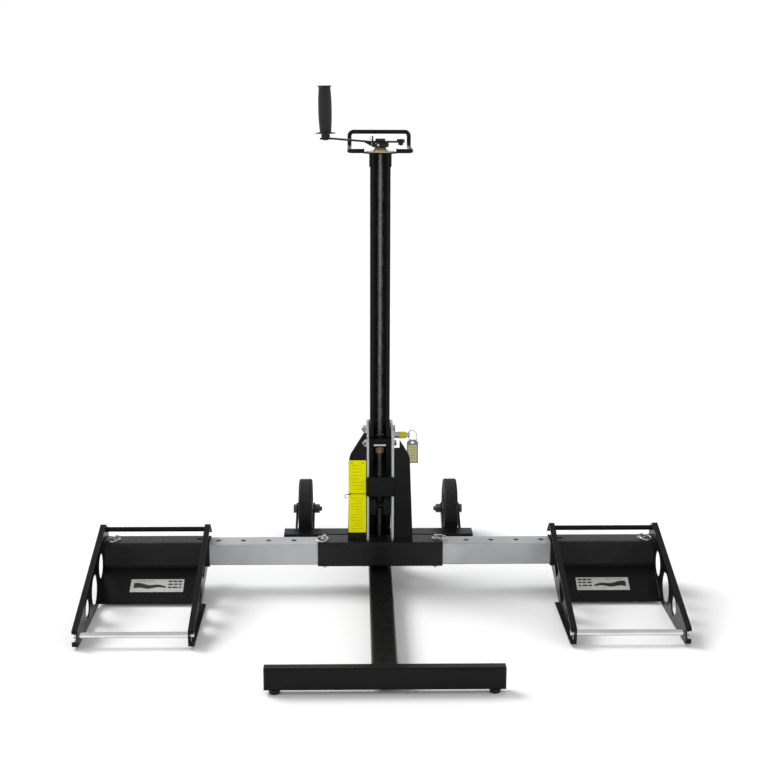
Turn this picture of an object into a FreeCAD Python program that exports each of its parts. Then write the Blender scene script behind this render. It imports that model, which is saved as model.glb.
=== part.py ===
import FreeCAD, Part
import math
import os

import Sketcher
from FreeCAD import Placement, Rotation, Vector

# A lift that raises one end of a lawn mower: a wheeled base with a mast, a carriage that a lead
# screw winds up the mast, and two pans on telescoping arms that take the mower's wheels.
# The frame stands on the floor at z = 0, with the crank end of the mast up, the pans to the left
# and right of the mast and the foot bar in front, at -Y. All lengths are in millimetres.

SIZES = {
    # Base frame
    "base_clearance": 13.0,
    "base_tube_width": 50.8,
    "base_tube_height": 38.1,
    "base_wall": 3.0,
    "base_corner": 5.0,
    "foot_reach": 633.0,
    "base_length": 460.0,
    "foot_bar_depth": 24.0,
    "foot_bar_height": 45.0,
    "foot_bar_wall": 2.5,
    "foot_bar_corner": 4.0,
    "foot_pad_inset": 20.0,
    "foot_pad_height": 9.5,
    "foot_pad_top_radius": 12.0,
    "foot_pad_low_radius": 10.0,
    "foot_pad_edge": 1.0,
    "rear_tube_setback": 137.5,
    "cap_thickness": 3.0,
    "cap_plug_depth": 14.0,
    "cap_plug_fit": 0.2,
    # Wheels and their forks
    "wheel_reach": 266.6,
    "wheel_radius": 75.0,
    "wheel_width": 32.5,
    "wheel_inset": 49.0,
    "wheel_side_gap": 2.75,
    "tyre_shoulder": 4.0,
    "tyre_shoulder_sag": 1.0,
    "tyre_bead_inset": 2.5,
    "rim_radius": 52.0,
    "rim_depth": 8.0,
    "rim_width": 26.0,
    "hub_barrel_radius": 14.0,
    "hub_web": 8.0,
    "hub_hole_radius": 8.5,
    "hub_hole_count": 5,
    "axle_radius": 6.0,
    "axle_fit": 0.05,
    "axle_end_past_nut": 6.0,
    "axle_head_across": 20.0,
    "axle_head_height": 7.5,
    "axle_nut_height": 12.0,
    "axle_washer_radius": 12.0,
    "axle_washer_play": 0.3,
    "fork_ear_thickness": 4.0,
    "fork_ear_end_radius": 15.0,
    # Mast
    "foot_plate_thickness": 5.0,
    "foot_plate_length": 84.0,
    "foot_plate_corner": 8.0,
    "mast_width": 45.0,
    "mast_depth": 50.0,
    "mast_wall": 3.0,
    "mast_corner": 3.0,
    "mast_slot": 28.0,
    "mast_top": 974.7,
    "lock_hole_radius": 5.0,
    "lock_pitch": 50.0,
    "collar_wall": 2.0,
    "collar_height": 28.2,
    "top_plate_thickness": 3.0,
    "top_plate_half_width": 36.0,
    "top_plate_ear": 16.0,
    "top_plate_neck": 22.0,
    "top_plate_depth": 66.0,
    "thrust_washer_radius": 31.0,
    "thrust_washer_thickness": 1.5,
    "thrust_bearing_radius": 19.0,
    "thrust_bearing_top_radius": 11.0,
    "thrust_bearing_height": 8.5,
    "foot_bush_radius": 12.0,
    "foot_bush_flange_radius": 17.0,
    "foot_bush_flange": 4.0,
    "foot_bush_height": 16.0,
    # Handle loop
    "loop_rod_radius": 4.8,
    "loop_half_width": 68.5,
    "loop_lift": 1.65,
    "loop_reach": 155.0,
    "loop_rise": 34.6,
    "loop_bend": 9.5,
    # Lead screw and crank
    "screw_radius": 7.0,
    "screw_fit": 0.05,
    "screw_foot_gap": 2.0,
    "running_gap": 0.3,
    "crank_hub_radius": 19.0,
    "crank_hub_height": 10.0,
    "crank_hub_edge": 2.0,
    "crank_radius": 120.0,
    "crank_arm_width": 22.0,
    "crank_arm_thickness": 3.5,
    "crank_arm_tail": 54.0,
    "crank_arm_bend": 22.0,
    "crank_arm_seat": 13.0,
    "crank_arm_rise": 6.7,
    "crank_arm_rounding": 9.0,
    "crank_rib_length": 16.0,
    "crank_rib_depth": 8.0,
    "crank_rib_thickness": 6.0,
    "crank_nut_across": 19.0,
    "crank_nut_height": 5.0,
    "crank_bolt_place": 45.0,
    "crank_bolt_radius": 3.0,
    "crank_bolt_across": 10.0,
    "crank_bolt_head_across": 15.0,
    "crank_bolt_head": 4.0,
    "crank_bolt_nut": 5.0,
    "grip_lean": 1.0,
    "grip_length": 103.0,
    "grip_top_radius": 12.9,
    "grip_low_radius": 12.5,
    "grip_belly": 2.3,
    "grip_cap_radius": 15.2,
    "grip_cap_height": 4.5,
    "grip_cap_edge": 0.8,
    "grip_disc_radius": 22.5,
    "grip_disc_height": 3.4,
    "grip_disc_edge": 1.2,
    "grip_neck_radius": 9.5,
    "grip_neck_height": 9.0,
    "grip_crown": 8.0,
    "spindle_radius": 4.0,
    "spindle_rivet_radius": 6.5,
    "spindle_rivet_height": 1.4,
    "spindle_end_gap": 1.0,
    # Carriage
    "cross_tube_reach": 103.0,
    "cross_tube_gap": 7.0,
    "cross_tube_side": 57.15,
    "cross_tube_wall": 3.0,
    "cross_tube_corner": 5.0,
    "cross_tube_length": 282.0,
    "arm_side": 50.8,
    "arm_wall": 3.0,
    "arm_corner": 4.0,
    "arm_start": 62.0,
    "arm_end": 615.0,
    "arm_pin_place": 126.0,
    "first_arm_hole": 195.5,
    "pan_pin_place": 595.5,
    "fine_pitch": 38.1,
    "fine_stops": 6,
    "coarse_stops": 3,
    "pin_hole_radius": 6.4,
    "side_plate_face": 25.5,
    "side_plate_thickness": 5.0,
    "side_plate_depth": 172.0,
    "side_plate_height": 241.0,
    "side_plate_rounding": 12.0,
    "wing_setback": 16.0,
    "wing_thickness": 5.0,
    "wing_foot_edge": 73.3,
    "wing_shoulder_edge": 65.7,
    "wing_rounding": 40.0,
    "wing_top_edge": 33.0,
    "left_wing_shoulder_edge": 70.0,
    "left_wing_top_edge": 37.0,
    "wing_top_height": 251.7,
    "wing_notch_edge": 42.5,
    "wing_bite_radius": 9.0,
    "brace_height": 44.5,
    "brace_lift": 105.3,
    "brace_corner": 3.0,
    "nut_height": 196.5,
    "carrier_reach": 15.0,
    "carrier_front_depth": 12.0,
    "carrier_height": 21.8,
    "carrier_mouth_half_width": 15.0,
    "carrier_mouth_height": 11.3,
    "carrier_slot_play": 1.0,
    "carrier_mast_play": 3.0,
    "nut_washer_radius": 13.5,
    "nut_washer_thickness": 4.0,
    "nut_spigot_radius": 9.0,
    "nut_seat_fit": 0.1,
    "nut_top_radius": 10.5,
    "nut_low_radius": 9.5,
    "nut_body_length": 17.0,
    "front_pad_lift": 60.8,
    "rear_pad_lift": 220.8,
    "guide_pad_depth": 30.0,
    "guide_pad_height": 40.0,
    "guide_pad_corner": 5.0,
    "guide_spacer_radius": 8.0,
    "guide_spacer_half_length": 8.5,
    "guide_side_play": 0.3,
    "liner_thickness": 2.4,
    "liner_lip": 10.0,
    "liner_back_gap": 5.0,
    "liner_drop": 20.0,
    "liner_pad_gap": 10.0,
    "carriage_bolt_radius": 5.0,
    "carriage_bolt_fit": 0.1,
    "carriage_bolt_across": 16.0,
    "carriage_bolt_head": 6.5,
    "carriage_nut_height": 8.0,
    "carriage_bolt_end": 3.5,
    "carrier_bolt_radius": 4.0,
    "carrier_bolt_depth": 9.0,
    "carrier_bolt_across": 13.0,
    "carrier_bolt_head": 5.5,
    "carrier_washer_radius": 11.0,
    "carrier_washer_thickness": 2.0,
    # Lock plunger on the right side plate
    "plunger_lift": 216.8,
    "plunger_radius": 4.0,
    "plunger_fit": 0.05,
    "plunger_housing_radius": 7.5,
    "plunger_housing_length": 13.5,
    "plunger_nose_radius": 6.0,
    "plunger_sleeve_radius": 8.0,
    "plunger_sleeve_length": 17.5,
    "plunger_cap_radius": 5.0,
    "plunger_cap_length": 8.0,
    "pull_ring_radius": 13.0,
    "pull_ring_wire": 1.0,
    "pull_ring_hole_radius": 2.2,
    "pull_ring_turn": 40.0,
    "pull_tag_width": 26.0,
    "pull_tag_height": 56.0,
    "pull_tag_thickness": 1.2,
    "pull_tag_hole_radius": 3.5,
    "pull_tag_hole_drop": 6.0,
    "pull_tag_corner": 6.0,
    # Ring pins
    "pin_radius": 6.0,
    "pin_tip": 2.5,
    "pin_past_tube": 11.0,
    "pin_collar_radius": 9.0,
    "pin_collar_height": 2.0,
    "pin_head_height": 9.0,
    "pin_head_radius": 4.0,
    "pin_eye_height": 5.5,
    "pin_eye_radius": 2.4,
    "pin_ring_radius": 13.0,
    "pin_ring_wire": 1.5,
    "pin_ring_droop": 8.0,
    "right_arm_ring_turn": -5.0,
    "left_arm_ring_turn": 245.0,
    "right_pan_ring_turn": -50.0,
    "left_pan_ring_turn": 230.0,
    # Wheel pans
    "pan_inner_edge": 385.0,
    "pan_bay": 223.5,
    "pan_lip": 12.5,
    "pan_sheet": 3.0,
    "pan_bend": 4.0,
    "pan_reach": 318.0,
    "pan_back": 66.0,
    "pan_rise": 90.0,
    "pan_drop": 54.0,
    "pan_weld_fit": 0.1,
    "pan_spare_hole": 410.0,
    "rear_hole_radius": 28.5,
    "middle_hole_radius": 35.0,
    "front_hole_radius": 21.5,
    "floor_plate_thickness": 4.0,
    "floor_plate_inset": 2.0,
    "back_rod_radius": 5.5,
    "back_rod_reach": 45.3,
    "back_rod_rise": 75.8,
    "front_rod_radius": 6.5,
    "front_rod_fit": 0.5,
    "front_rod_inset": 16.0,
    "front_rod_drop": 32.0,
    "front_rod_end_gap": 2.0,
    "front_rod_chamfer": 1.0,
    "front_rod_pin_hole": 2.0,
    "front_rod_notch": 9.0,
    # How far a cut runs past the piece that it cuts
    "overrun": 1.0,
}

# Shares of the sizes that an outline follows
WING_SHARES = {"shoulder": 0.786, "notch": 0.861, "bite": 0.906}
SIDE_PLATE_SHARES = {"waist_depth": 0.55, "foot_rise": 0.16, "waist_rise": 0.56, "ear_rise": 0.74}
PAN_SHARES = {
    "top_back": 0.606,
    "back_high": 0.733,
    "back_low": 0.185,
    "heel_back": 0.15,
    "heel_drop": 0.444,
    "knee_reach": 0.28,
    "toe_drop": 0.963,
    "nose_drop": 0.315,
    "floor_reach": 0.27,
}
PAN_HOLE_SHARES = (
    ("rear_hole_radius", 0.110, 0.333),
    ("middle_hole_radius", 0.374, -0.135),
    ("front_hole_radius", 0.639, -0.280),
)

TOLERANCE = 1e-4

doc = FreeCAD.newDocument("LawnMowerLift")
sheet = doc.addObject("Spreadsheet::Sheet", "Dim")
for row, (alias, size) in enumerate(SIZES.items(), start=1):
    sheet.set(f"A{row}", alias)
    sheet.set(f"B{row}", str(size))
    sheet.setAlias(f"B{row}", alias)
doc.recompute()

# Places that follow from the sizes. The origin is under the middle of the lift, on the floor.
MAST_FRONT = "((Dim.foot_reach - Dim.wheel_reach - Dim.wheel_radius) / 2)"
FOOT_FRONT = f"({MAST_FRONT} - Dim.foot_reach)"
REAR_FRONT = f"({MAST_FRONT} + Dim.rear_tube_setback)"
REAR_BACK = f"({REAR_FRONT} + Dim.base_tube_width)"
AXLE_Y = f"({MAST_FRONT} + Dim.wheel_reach)"
SCREW_Y = f"({MAST_FRONT} + Dim.mast_depth / 2)"
CROSS_FRONT = f"({MAST_FRONT} - Dim.cross_tube_reach)"
CROSS_Y = f"({CROSS_FRONT} + Dim.cross_tube_side / 2)"
BASE_TOP = "(Dim.base_clearance + Dim.base_tube_height)"
MAST_BOTTOM = f"({BASE_TOP} + Dim.foot_plate_thickness)"
PLATE_TOP = "(Dim.mast_top + Dim.top_plate_thickness)"
HUB_BOTTOM = (
    f"({PLATE_TOP} + Dim.thrust_washer_thickness + Dim.thrust_bearing_height + Dim.running_gap)"
)
ARM_BOTTOM = f"({HUB_BOTTOM} + Dim.crank_hub_height)"
CROSS_BOTTOM = f"({BASE_TOP} + Dim.cross_tube_gap)"
CROSS_TOP = f"({CROSS_BOTTOM} + Dim.cross_tube_side)"
SIDE_FRONT = f"({CROSS_FRONT} + Dim.wing_setback)"
SIDE_OUTER = "(Dim.side_plate_face + Dim.side_plate_thickness)"
CARRIER_FRONT = f"({MAST_FRONT} - Dim.carrier_reach)"
CARRIER_BOTTOM = f"({CROSS_TOP} + Dim.nut_height)"
CARRIAGE_TOP = f"({CROSS_TOP} + Dim.rear_pad_lift + Dim.guide_pad_height / 2)"
PAD_FRONT = f"({MAST_FRONT} - Dim.running_gap - Dim.guide_pad_depth)"
PAD_BACK = f"({MAST_FRONT} + Dim.mast_depth + Dim.running_gap)"
PAN_INNER_FACE = "(Dim.pan_inner_edge + Dim.pan_lip)"
PAN_OUTER_FACE = f"({PAN_INNER_FACE} + Dim.pan_bay)"
WHEEL_PLACE = "(Dim.base_length / 2 - Dim.wheel_inset)"
WHEEL_INNER = f"({WHEEL_PLACE} - Dim.wheel_width / 2 - Dim.wheel_side_gap)"
WHEEL_OUTER = f"({WHEEL_PLACE} + Dim.wheel_width / 2 + Dim.wheel_side_gap)"


def value(text):
    """The number that an expression gives."""
    result = sheet.evalExpression(str(text))
    return float(getattr(result, "Value", result))


def bind(item, **sizes):
    """Ties properties of an object to expressions."""
    for name, text in sizes.items():
        item.setExpression(name, str(text))
    return item


def place(item, x=0, y=0, z=0, turn=None):
    """Puts an object at three expressions, turned first where a rotation is given."""
    if turn:
        item.Placement = Placement(Vector(), turn)
    for letter, text in (("x", x), ("y", y), ("z", z)):
        item.setExpression(f"Placement.Base.{letter}", str(text))
    return item


# A turn that lays a piece's own Z along X
ALONG_X = Rotation(Vector(0, 1, 0), 90)


def primitive(kind, name, **sizes):
    return bind(doc.addObject(kind, name), **sizes)


def cylinder(name, radius, height):
    return primitive("Part::Cylinder", name, Radius=radius, Height=height)


def hexagon(name, across, height):
    prism = primitive("Part::Prism", name, Circumradius=f"{across} / 2 / cos(30)", Height=height)
    prism.Polygon = 6
    return prism


def cut(name, base, tool):
    item = doc.addObject("Part::Cut", name)
    item.Base = base
    item.Tool = tool
    return item


def fuse(name, *pieces):
    item = doc.addObject("Part::MultiFuse", name)
    item.Shapes = list(pieces)
    return item


def group(name, *pieces):
    """Separate solids that share one node."""
    item = doc.addObject("Part::Compound", name)
    item.Links = list(pieces)
    return item


def mirrored(name, source):
    """The same piece on the other side of the lift."""
    item = doc.addObject("Part::Mirroring", name)
    item.Source = source
    item.Normal = Vector(1, 0, 0)
    return item


def body(name):
    return doc.addObject("PartDesign::Body", name)


def sketch(part, role, offset=None):
    """A sketch on one of the body's own planes, moved along its normal by an offset."""
    drawing = part.newObject("Sketcher::SketchObject", f"{part.Name}_sketch")
    plane = next(item for item in part.Origin.OriginFeatures if item.Role == role)
    drawing.AttachmentSupport = (plane, [""])
    drawing.MapMode = "FlatFace"
    if offset is not None:
        drawing.setExpression("AttachmentOffset.Base.z", str(offset))
    return drawing


def constrain(drawing, text, *constraint):
    """Adds a dimension that follows an expression."""
    number = drawing.addConstraint(Sketcher.Constraint(*constraint, value(text)))
    drawing.setExpression(f"Constraints[{number}]", str(text))


def outline(drawing, points):
    """A closed outline. A point with a third entry starts an arc that bulges by that much to the
    right of the way to the next point."""
    stretches = []
    for number, point in enumerate(points):
        following = points[(number + 1) % len(points)]
        start = Vector(value(point[0]), value(point[1]))
        end = Vector(value(following[0]), value(following[1]))
        if len(point) == 2:
            geometry = drawing.addGeometry(Part.LineSegment(start, end))
            stretches.append((geometry, 1, 2))
            continue
        along = (end - start).normalize()
        crest = (start + end) / 2 + Vector(along.y, -along.x) * value(point[2])
        stretches.append((drawing.addGeometry(Part.Arc(start, crest, end)), 1, 2))
    for number, (geometry, first, last) in enumerate(stretches):
        following = stretches[(number + 1) % len(stretches)]
        drawing.addConstraint(
            Sketcher.Constraint("Coincident", geometry, last, following[0], following[1])
        )
        point = points[number]
        constrain(drawing, point[0], "DistanceX", -1, 1, geometry, first)
        constrain(drawing, point[1], "DistanceY", -1, 1, geometry, first)
        if len(point) == 3:
            bend_through(drawing, geometry, point, points[(number + 1) % len(points)])


def bend_through(drawing, geometry, point, end):
    """Ties the centre of an arc to its two ends and its bulge, along the longer way across."""
    run = f"(({end[0]}) - ({point[0]}))"
    rise = f"(({end[1]}) - ({point[1]}))"
    quarter = f"(({run}^2 + {rise}^2) / 4)"
    gap = f"(({quarter} - ({point[2]})^2) / (4 * ({point[2]}) * sqrt{quarter}))"
    if abs(value(rise)) > abs(value(run)):
        middle = f"({point[0]}) + {run} / 2 - {gap} * {rise}"
        constrain(drawing, middle, "DistanceX", -1, 1, geometry, 3)
    else:
        middle = f"({point[1]}) + {rise} / 2 + {gap} * {run}"
        constrain(drawing, middle, "DistanceY", -1, 1, geometry, 3)


def circle(drawing, x, y, radius):
    centre = Vector(value(x), value(y))
    geometry = drawing.addGeometry(Part.Circle(centre, Vector(0, 0, 1), value(radius)))
    constrain(drawing, x, "DistanceX", -1, 1, geometry, 3)
    constrain(drawing, y, "DistanceY", -1, 1, geometry, 3)
    constrain(drawing, radius, "Radius", geometry)


def rectangle(x0, y0, x1, y1):
    return [(x0, y0), (x1, y0), (x1, y1), (x0, y1)]


def centred(width, height):
    """A rectangle that is centred across and stands on the axis."""
    return rectangle(f"-({width}) / 2", "0", f"({width}) / 2", height)


def pad(part, drawing, length, back=False):
    item = part.newObject("PartDesign::Pad", f"{part.Name}_pad")
    item.Profile = drawing
    item.Reversed = back
    bind(item, Length=length)
    doc.recompute()
    return item


def pocket(part, drawing, depth, back=False):
    """Cuts a sketch into the body, and makes sure that it does cut."""
    before = part.Shape.Volume
    item = part.newObject("PartDesign::Pocket", f"{part.Name}_pocket")
    item.Profile = drawing
    item.Reversed = back
    bind(item, Length=depth)
    doc.recompute()
    if part.Shape.Volume > before - TOLERANCE:
        raise ValueError(f"{item.Name} cuts nothing")
    return item


def repeat(part, feature, drawing, axis, pitch, gaps):
    """Repeats a cut along one of its sketch's axes, with one copy more than there are gaps."""
    before = part.Shape.Volume
    item = part.newObject("PartDesign::LinearPattern", f"{part.Name}_row")
    item.Originals = [feature]
    item.Direction = (drawing, [axis])
    bind(item, Length=f"({pitch}) * ({gaps})", Occurrences=f"({gaps}) + 1")
    part.Tip = item
    doc.recompute()
    if part.Shape.Volume > before - TOLERANCE:
        raise ValueError(f"{item.Name} cuts nothing")
    return item


def round_corners(part, drawing, corners, radius):
    """Rounds the straight edges that run through the given corners of a sketch."""
    shape = part.Tip.Shape
    normal = drawing.Placement.Rotation.multVec(Vector(0, 0, 1))
    spots = [drawing.Placement.multVec(Vector(value(x), value(y), 0)) for x, y in corners]
    names = []
    for number, edge in enumerate(shape.Edges, start=1):
        if edge.Curve.TypeId != "Part::GeomLine":
            continue
        run = edge.Vertexes[1].Point - edge.Vertexes[0].Point
        if run.cross(normal).Length > TOLERANCE:
            continue
        for spot in spots:
            gap = edge.Vertexes[0].Point - spot
            if (gap - normal * gap.dot(normal)).Length < TOLERANCE:
                names.append(f"Edge{number}")
    if len(names) < len(corners):
        raise ValueError(f"{part.Name} has no edge at a corner to round")
    base = part.Tip
    item = part.newObject("PartDesign::Fillet", f"{part.Name}_rounding")
    item.Base = (base, names)
    bind(item, Radius=radius)
    doc.recompute()
    return item


def turned(name, profile):
    """A piece turned about its own Z axis, from points at (radius, height)."""
    part = body(name)
    drawing = sketch(part, "XZ_Plane")
    outline(drawing, profile)
    item = part.newObject("PartDesign::Revolution", f"{name}_turned")
    item.Profile = drawing
    item.ReferenceAxis = (drawing, ["V_Axis"])
    item.Angle = 360
    doc.recompute()
    return part


def sleeve_of(name, bore, radius, length):
    """A plain ring or tube about its own Z axis."""
    return turned(name, rectangle(bore, "0", radius, length))


def tube(name, role, width, height, wall, corner, length):
    """A rectangular tube with rounded edges, square to one of its planes."""
    part = body(name)
    section = sketch(part, role)
    outer = centred(width, height)
    inner = rectangle(
        f"-({width}) / 2 + {wall}", wall, f"({width}) / 2 - {wall}", f"({height}) - {wall}"
    )
    outline(section, outer)
    outline(section, inner)
    pad(part, section, length)
    round_corners(part, section, outer, corner)
    round_corners(part, section, inner, f"{corner} - {wall}")
    return part


def plate(name, role, points, thickness, corners=(), radius="0", holes=()):
    """A flat plate cut to an outline, with some corners rounded and round holes in it."""
    part = body(name)
    drawing = sketch(part, role)
    outline(drawing, points)
    for hole in holes:
        circle(drawing, *hole)
    pad(part, drawing, thickness)
    if corners:
        round_corners(part, drawing, corners, radius)
    return part


def hex_bolt(name, radius, length, across, head):
    """A bolt along its own Z: its head stands up from zero and its shank hangs down."""
    crown = hexagon(f"{name}_head", across, head)
    point = f"({radius}) / 3"
    shank = place(cylinder(f"{name}_shank", radius, f"({length}) - {point}"),
                  z=f"-({length}) + {point}")
    tip = primitive("Part::Cone", f"{name}_point", Radius1=f"({radius}) - {point}",
                    Radius2=radius, Height=point)
    place(tip, z=f"-({length})")
    return fuse(name, crown, shank, tip)


def hex_nut(name, radius, across, height):
    return cut(name, hexagon(f"{name}_blank", across, height),
               cylinder(f"{name}_bore", radius, height))


def bent_rod(name, points, radius, bend):
    """A round rod along straight runs joined by bends of one radius."""
    corners = [Vector(*(value(text) for text in point)) for point in points]
    bend = value(bend)
    edges = []
    start = corners[0]
    for before, corner, after in zip(corners, corners[1:], corners[2:]):
        back = (before - corner).normalize()
        ahead = (after - corner).normalize()
        half = back.getAngle(ahead) / 2
        reach = bend / math.tan(half)
        middle = (back + ahead).normalize()
        crest = corner + middle * (bend / math.sin(half) - bend)
        edges.append(Part.LineSegment(start, corner + back * reach).toShape())
        edges.append(Part.Arc(corner + back * reach, crest, corner + ahead * reach).toShape())
        start = corner + ahead * reach
    edges.append(Part.LineSegment(start, corners[-1]).toShape())
    path = Part.Wire(edges)
    section = Part.Wire([Part.makeCircle(value(radius), corners[0], corners[1] - corners[0])])
    item = doc.addObject("Part::Feature", name)
    item.Shape = path.makePipeShell([section], True, False)
    return item


NODES = {}


def node(name, item):
    """Names a finished piece and keeps it for the parts folder."""
    item.Label = name
    NODES[name] = item
    return item


def pair(name, right):
    """Two like pieces, one on each side, in one node."""
    return node(name, group(name, right, mirrored(f"{name}_other", right)))


def base_frame():
    """The welded tubes that stand on the floor, with their caps and pads."""
    length = "Dim.foot_reach - Dim.foot_bar_depth + Dim.rear_tube_setback"
    base = tube("base_tube", "XZ_Plane", "Dim.base_tube_width", "Dim.base_tube_height",
                "Dim.base_wall", "Dim.base_corner", length)
    node("base_tube", place(base, y=REAR_FRONT, z="Dim.base_clearance"))

    bar_length = "(Dim.base_length - 2 * Dim.cap_thickness)"
    bar = tube("foot_bar", "YZ_Plane", "Dim.foot_bar_depth", "Dim.foot_bar_height",
               "Dim.foot_bar_wall", "Dim.foot_bar_corner", bar_length)
    bar_y = f"({FOOT_FRONT} + Dim.foot_bar_depth / 2)"
    node("foot_bar", place(bar, f"-{bar_length} / 2", bar_y, "Dim.foot_pad_height"))

    rear = tube("rear_tube", "YZ_Plane", "Dim.base_tube_width", "Dim.base_tube_height",
                "Dim.base_wall", "Dim.base_corner", bar_length)
    rear_y = f"({REAR_FRONT} + Dim.base_tube_width / 2)"
    node("rear_tube", place(rear, f"-{bar_length} / 2", rear_y, "Dim.base_clearance"))

    foot_cap = end_cap("foot_cap", "Dim.foot_bar_depth", "Dim.foot_bar_height",
                       "Dim.foot_bar_wall", "Dim.foot_bar_corner")
    place(foot_cap, f"{bar_length} / 2", bar_y, "Dim.foot_pad_height")
    rear_cap = end_cap("rear_cap", "Dim.base_tube_width", "Dim.base_tube_height",
                       "Dim.base_wall", "Dim.base_corner")
    place(rear_cap, f"{bar_length} / 2", rear_y, "Dim.base_clearance")
    node("end_caps", group("end_caps", foot_cap, mirrored("foot_cap_other", foot_cap),
                           rear_cap, mirrored("rear_cap_other", rear_cap)))

    pad_low = "Dim.foot_pad_low_radius"
    foot_pad = turned("foot_pad", [
        ("0", "0"),
        (f"{pad_low} - Dim.foot_pad_edge", "0"),
        (pad_low, "Dim.foot_pad_edge"),
        ("Dim.foot_pad_top_radius", "Dim.foot_pad_height"),
        ("0", "Dim.foot_pad_height"),
    ])
    pair("foot_pads", place(foot_pad, "Dim.base_length / 2 - Dim.foot_pad_inset", bar_y))

    half = "(Dim.base_tube_width / 2)"
    reach = "(Dim.foot_plate_length / 2)"
    corners = rectangle(f"-{half}", f"-{reach}", half, reach)
    foot_plate = plate("mast_foot_plate", "XY_Plane", corners, "Dim.foot_plate_thickness",
                       corners, "Dim.foot_plate_corner")
    node("mast_foot_plate", place(foot_plate, y=SCREW_Y, z=BASE_TOP))


def end_cap(name, width, height, wall, corner):
    """A plug for a tube that runs along X: a face plate with a stub inside the tube."""
    part = body(name)
    face = sketch(part, "YZ_Plane")
    outer = centred(width, height)
    outline(face, outer)
    pad(part, face, "Dim.cap_thickness")
    round_corners(part, face, outer, corner)
    inset = f"({wall} + Dim.cap_plug_fit)"
    stub = sketch(part, "YZ_Plane")
    corners = rectangle(f"-({width}) / 2 + {inset}", inset,
                        f"({width}) / 2 - {inset}", f"({height}) - {inset}")
    outline(stub, corners)
    pad(part, stub, "Dim.cap_plug_depth", back=True)
    round_corners(part, stub, corners, f"{corner} - {wall}")
    return part


def wheel_forks():
    """Two ears for each wheel, welded to the back of the rear tube, with the axle bolts."""
    reach = f"({AXLE_Y} - {REAR_BACK})"
    rise = "(Dim.wheel_radius - Dim.base_clearance)"
    end = "Dim.fork_ear_end_radius"
    points = [
        ("0", "0"),
        (reach, f"{rise} - {end}", end),
        (reach, f"{rise} + {end}"),
        ("0", "Dim.base_tube_height"),
    ]
    hole = (reach, rise, "Dim.axle_radius + Dim.axle_fit")
    inner = plate("inner_ear", "YZ_Plane", points, "Dim.fork_ear_thickness", holes=[hole])
    outer = plate("outer_ear", "YZ_Plane", points, "Dim.fork_ear_thickness", holes=[hole])
    place(inner, f"{WHEEL_INNER} - Dim.fork_ear_thickness", REAR_BACK, "Dim.base_clearance")
    place(outer, WHEEL_OUTER, REAR_BACK, "Dim.base_clearance")
    node("wheel_forks", group("wheel_forks", inner, outer, mirrored("inner_ear_other", inner),
                              mirrored("outer_ear_other", outer)))

    ear_outside = f"({WHEEL_OUTER} + Dim.fork_ear_thickness)"
    nut_face = f"({WHEEL_INNER} - Dim.fork_ear_thickness)"
    nut_end = f"({nut_face} - Dim.axle_nut_height)"
    length = f"({ear_outside} - {nut_end} + Dim.axle_end_past_nut)"
    bolt = hex_bolt("axle_bolt", "Dim.axle_radius", length, "Dim.axle_head_across",
                    "Dim.axle_head_height")
    place(bolt, ear_outside, AXLE_Y, "Dim.wheel_radius", ALONG_X)
    nut = hex_nut("axle_nut", "Dim.axle_radius + Dim.axle_fit", "Dim.axle_head_across",
                  "Dim.axle_nut_height")
    place(nut, nut_end, AXLE_Y, "Dim.wheel_radius", ALONG_X)
    node("axle_bolts", group("axle_bolts", bolt, nut, mirrored("axle_bolt_other", bolt),
                             mirrored("axle_nut_other", nut)))

    thickness = "(Dim.wheel_side_gap - Dim.axle_washer_play)"
    bore = "Dim.axle_radius + Dim.axle_fit"
    inside = sleeve_of("inner_washer", bore, "Dim.axle_washer_radius", thickness)
    outside = sleeve_of("outer_washer", bore, "Dim.axle_washer_radius", thickness)
    place(inside, WHEEL_INNER, AXLE_Y, "Dim.wheel_radius", ALONG_X)
    place(outside, f"{WHEEL_OUTER} - {thickness}", AXLE_Y, "Dim.wheel_radius", ALONG_X)
    node("axle_washers", group("axle_washers", inside, outside,
                               mirrored("inner_washer_other", inside),
                               mirrored("outer_washer_other", outside)))


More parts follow.
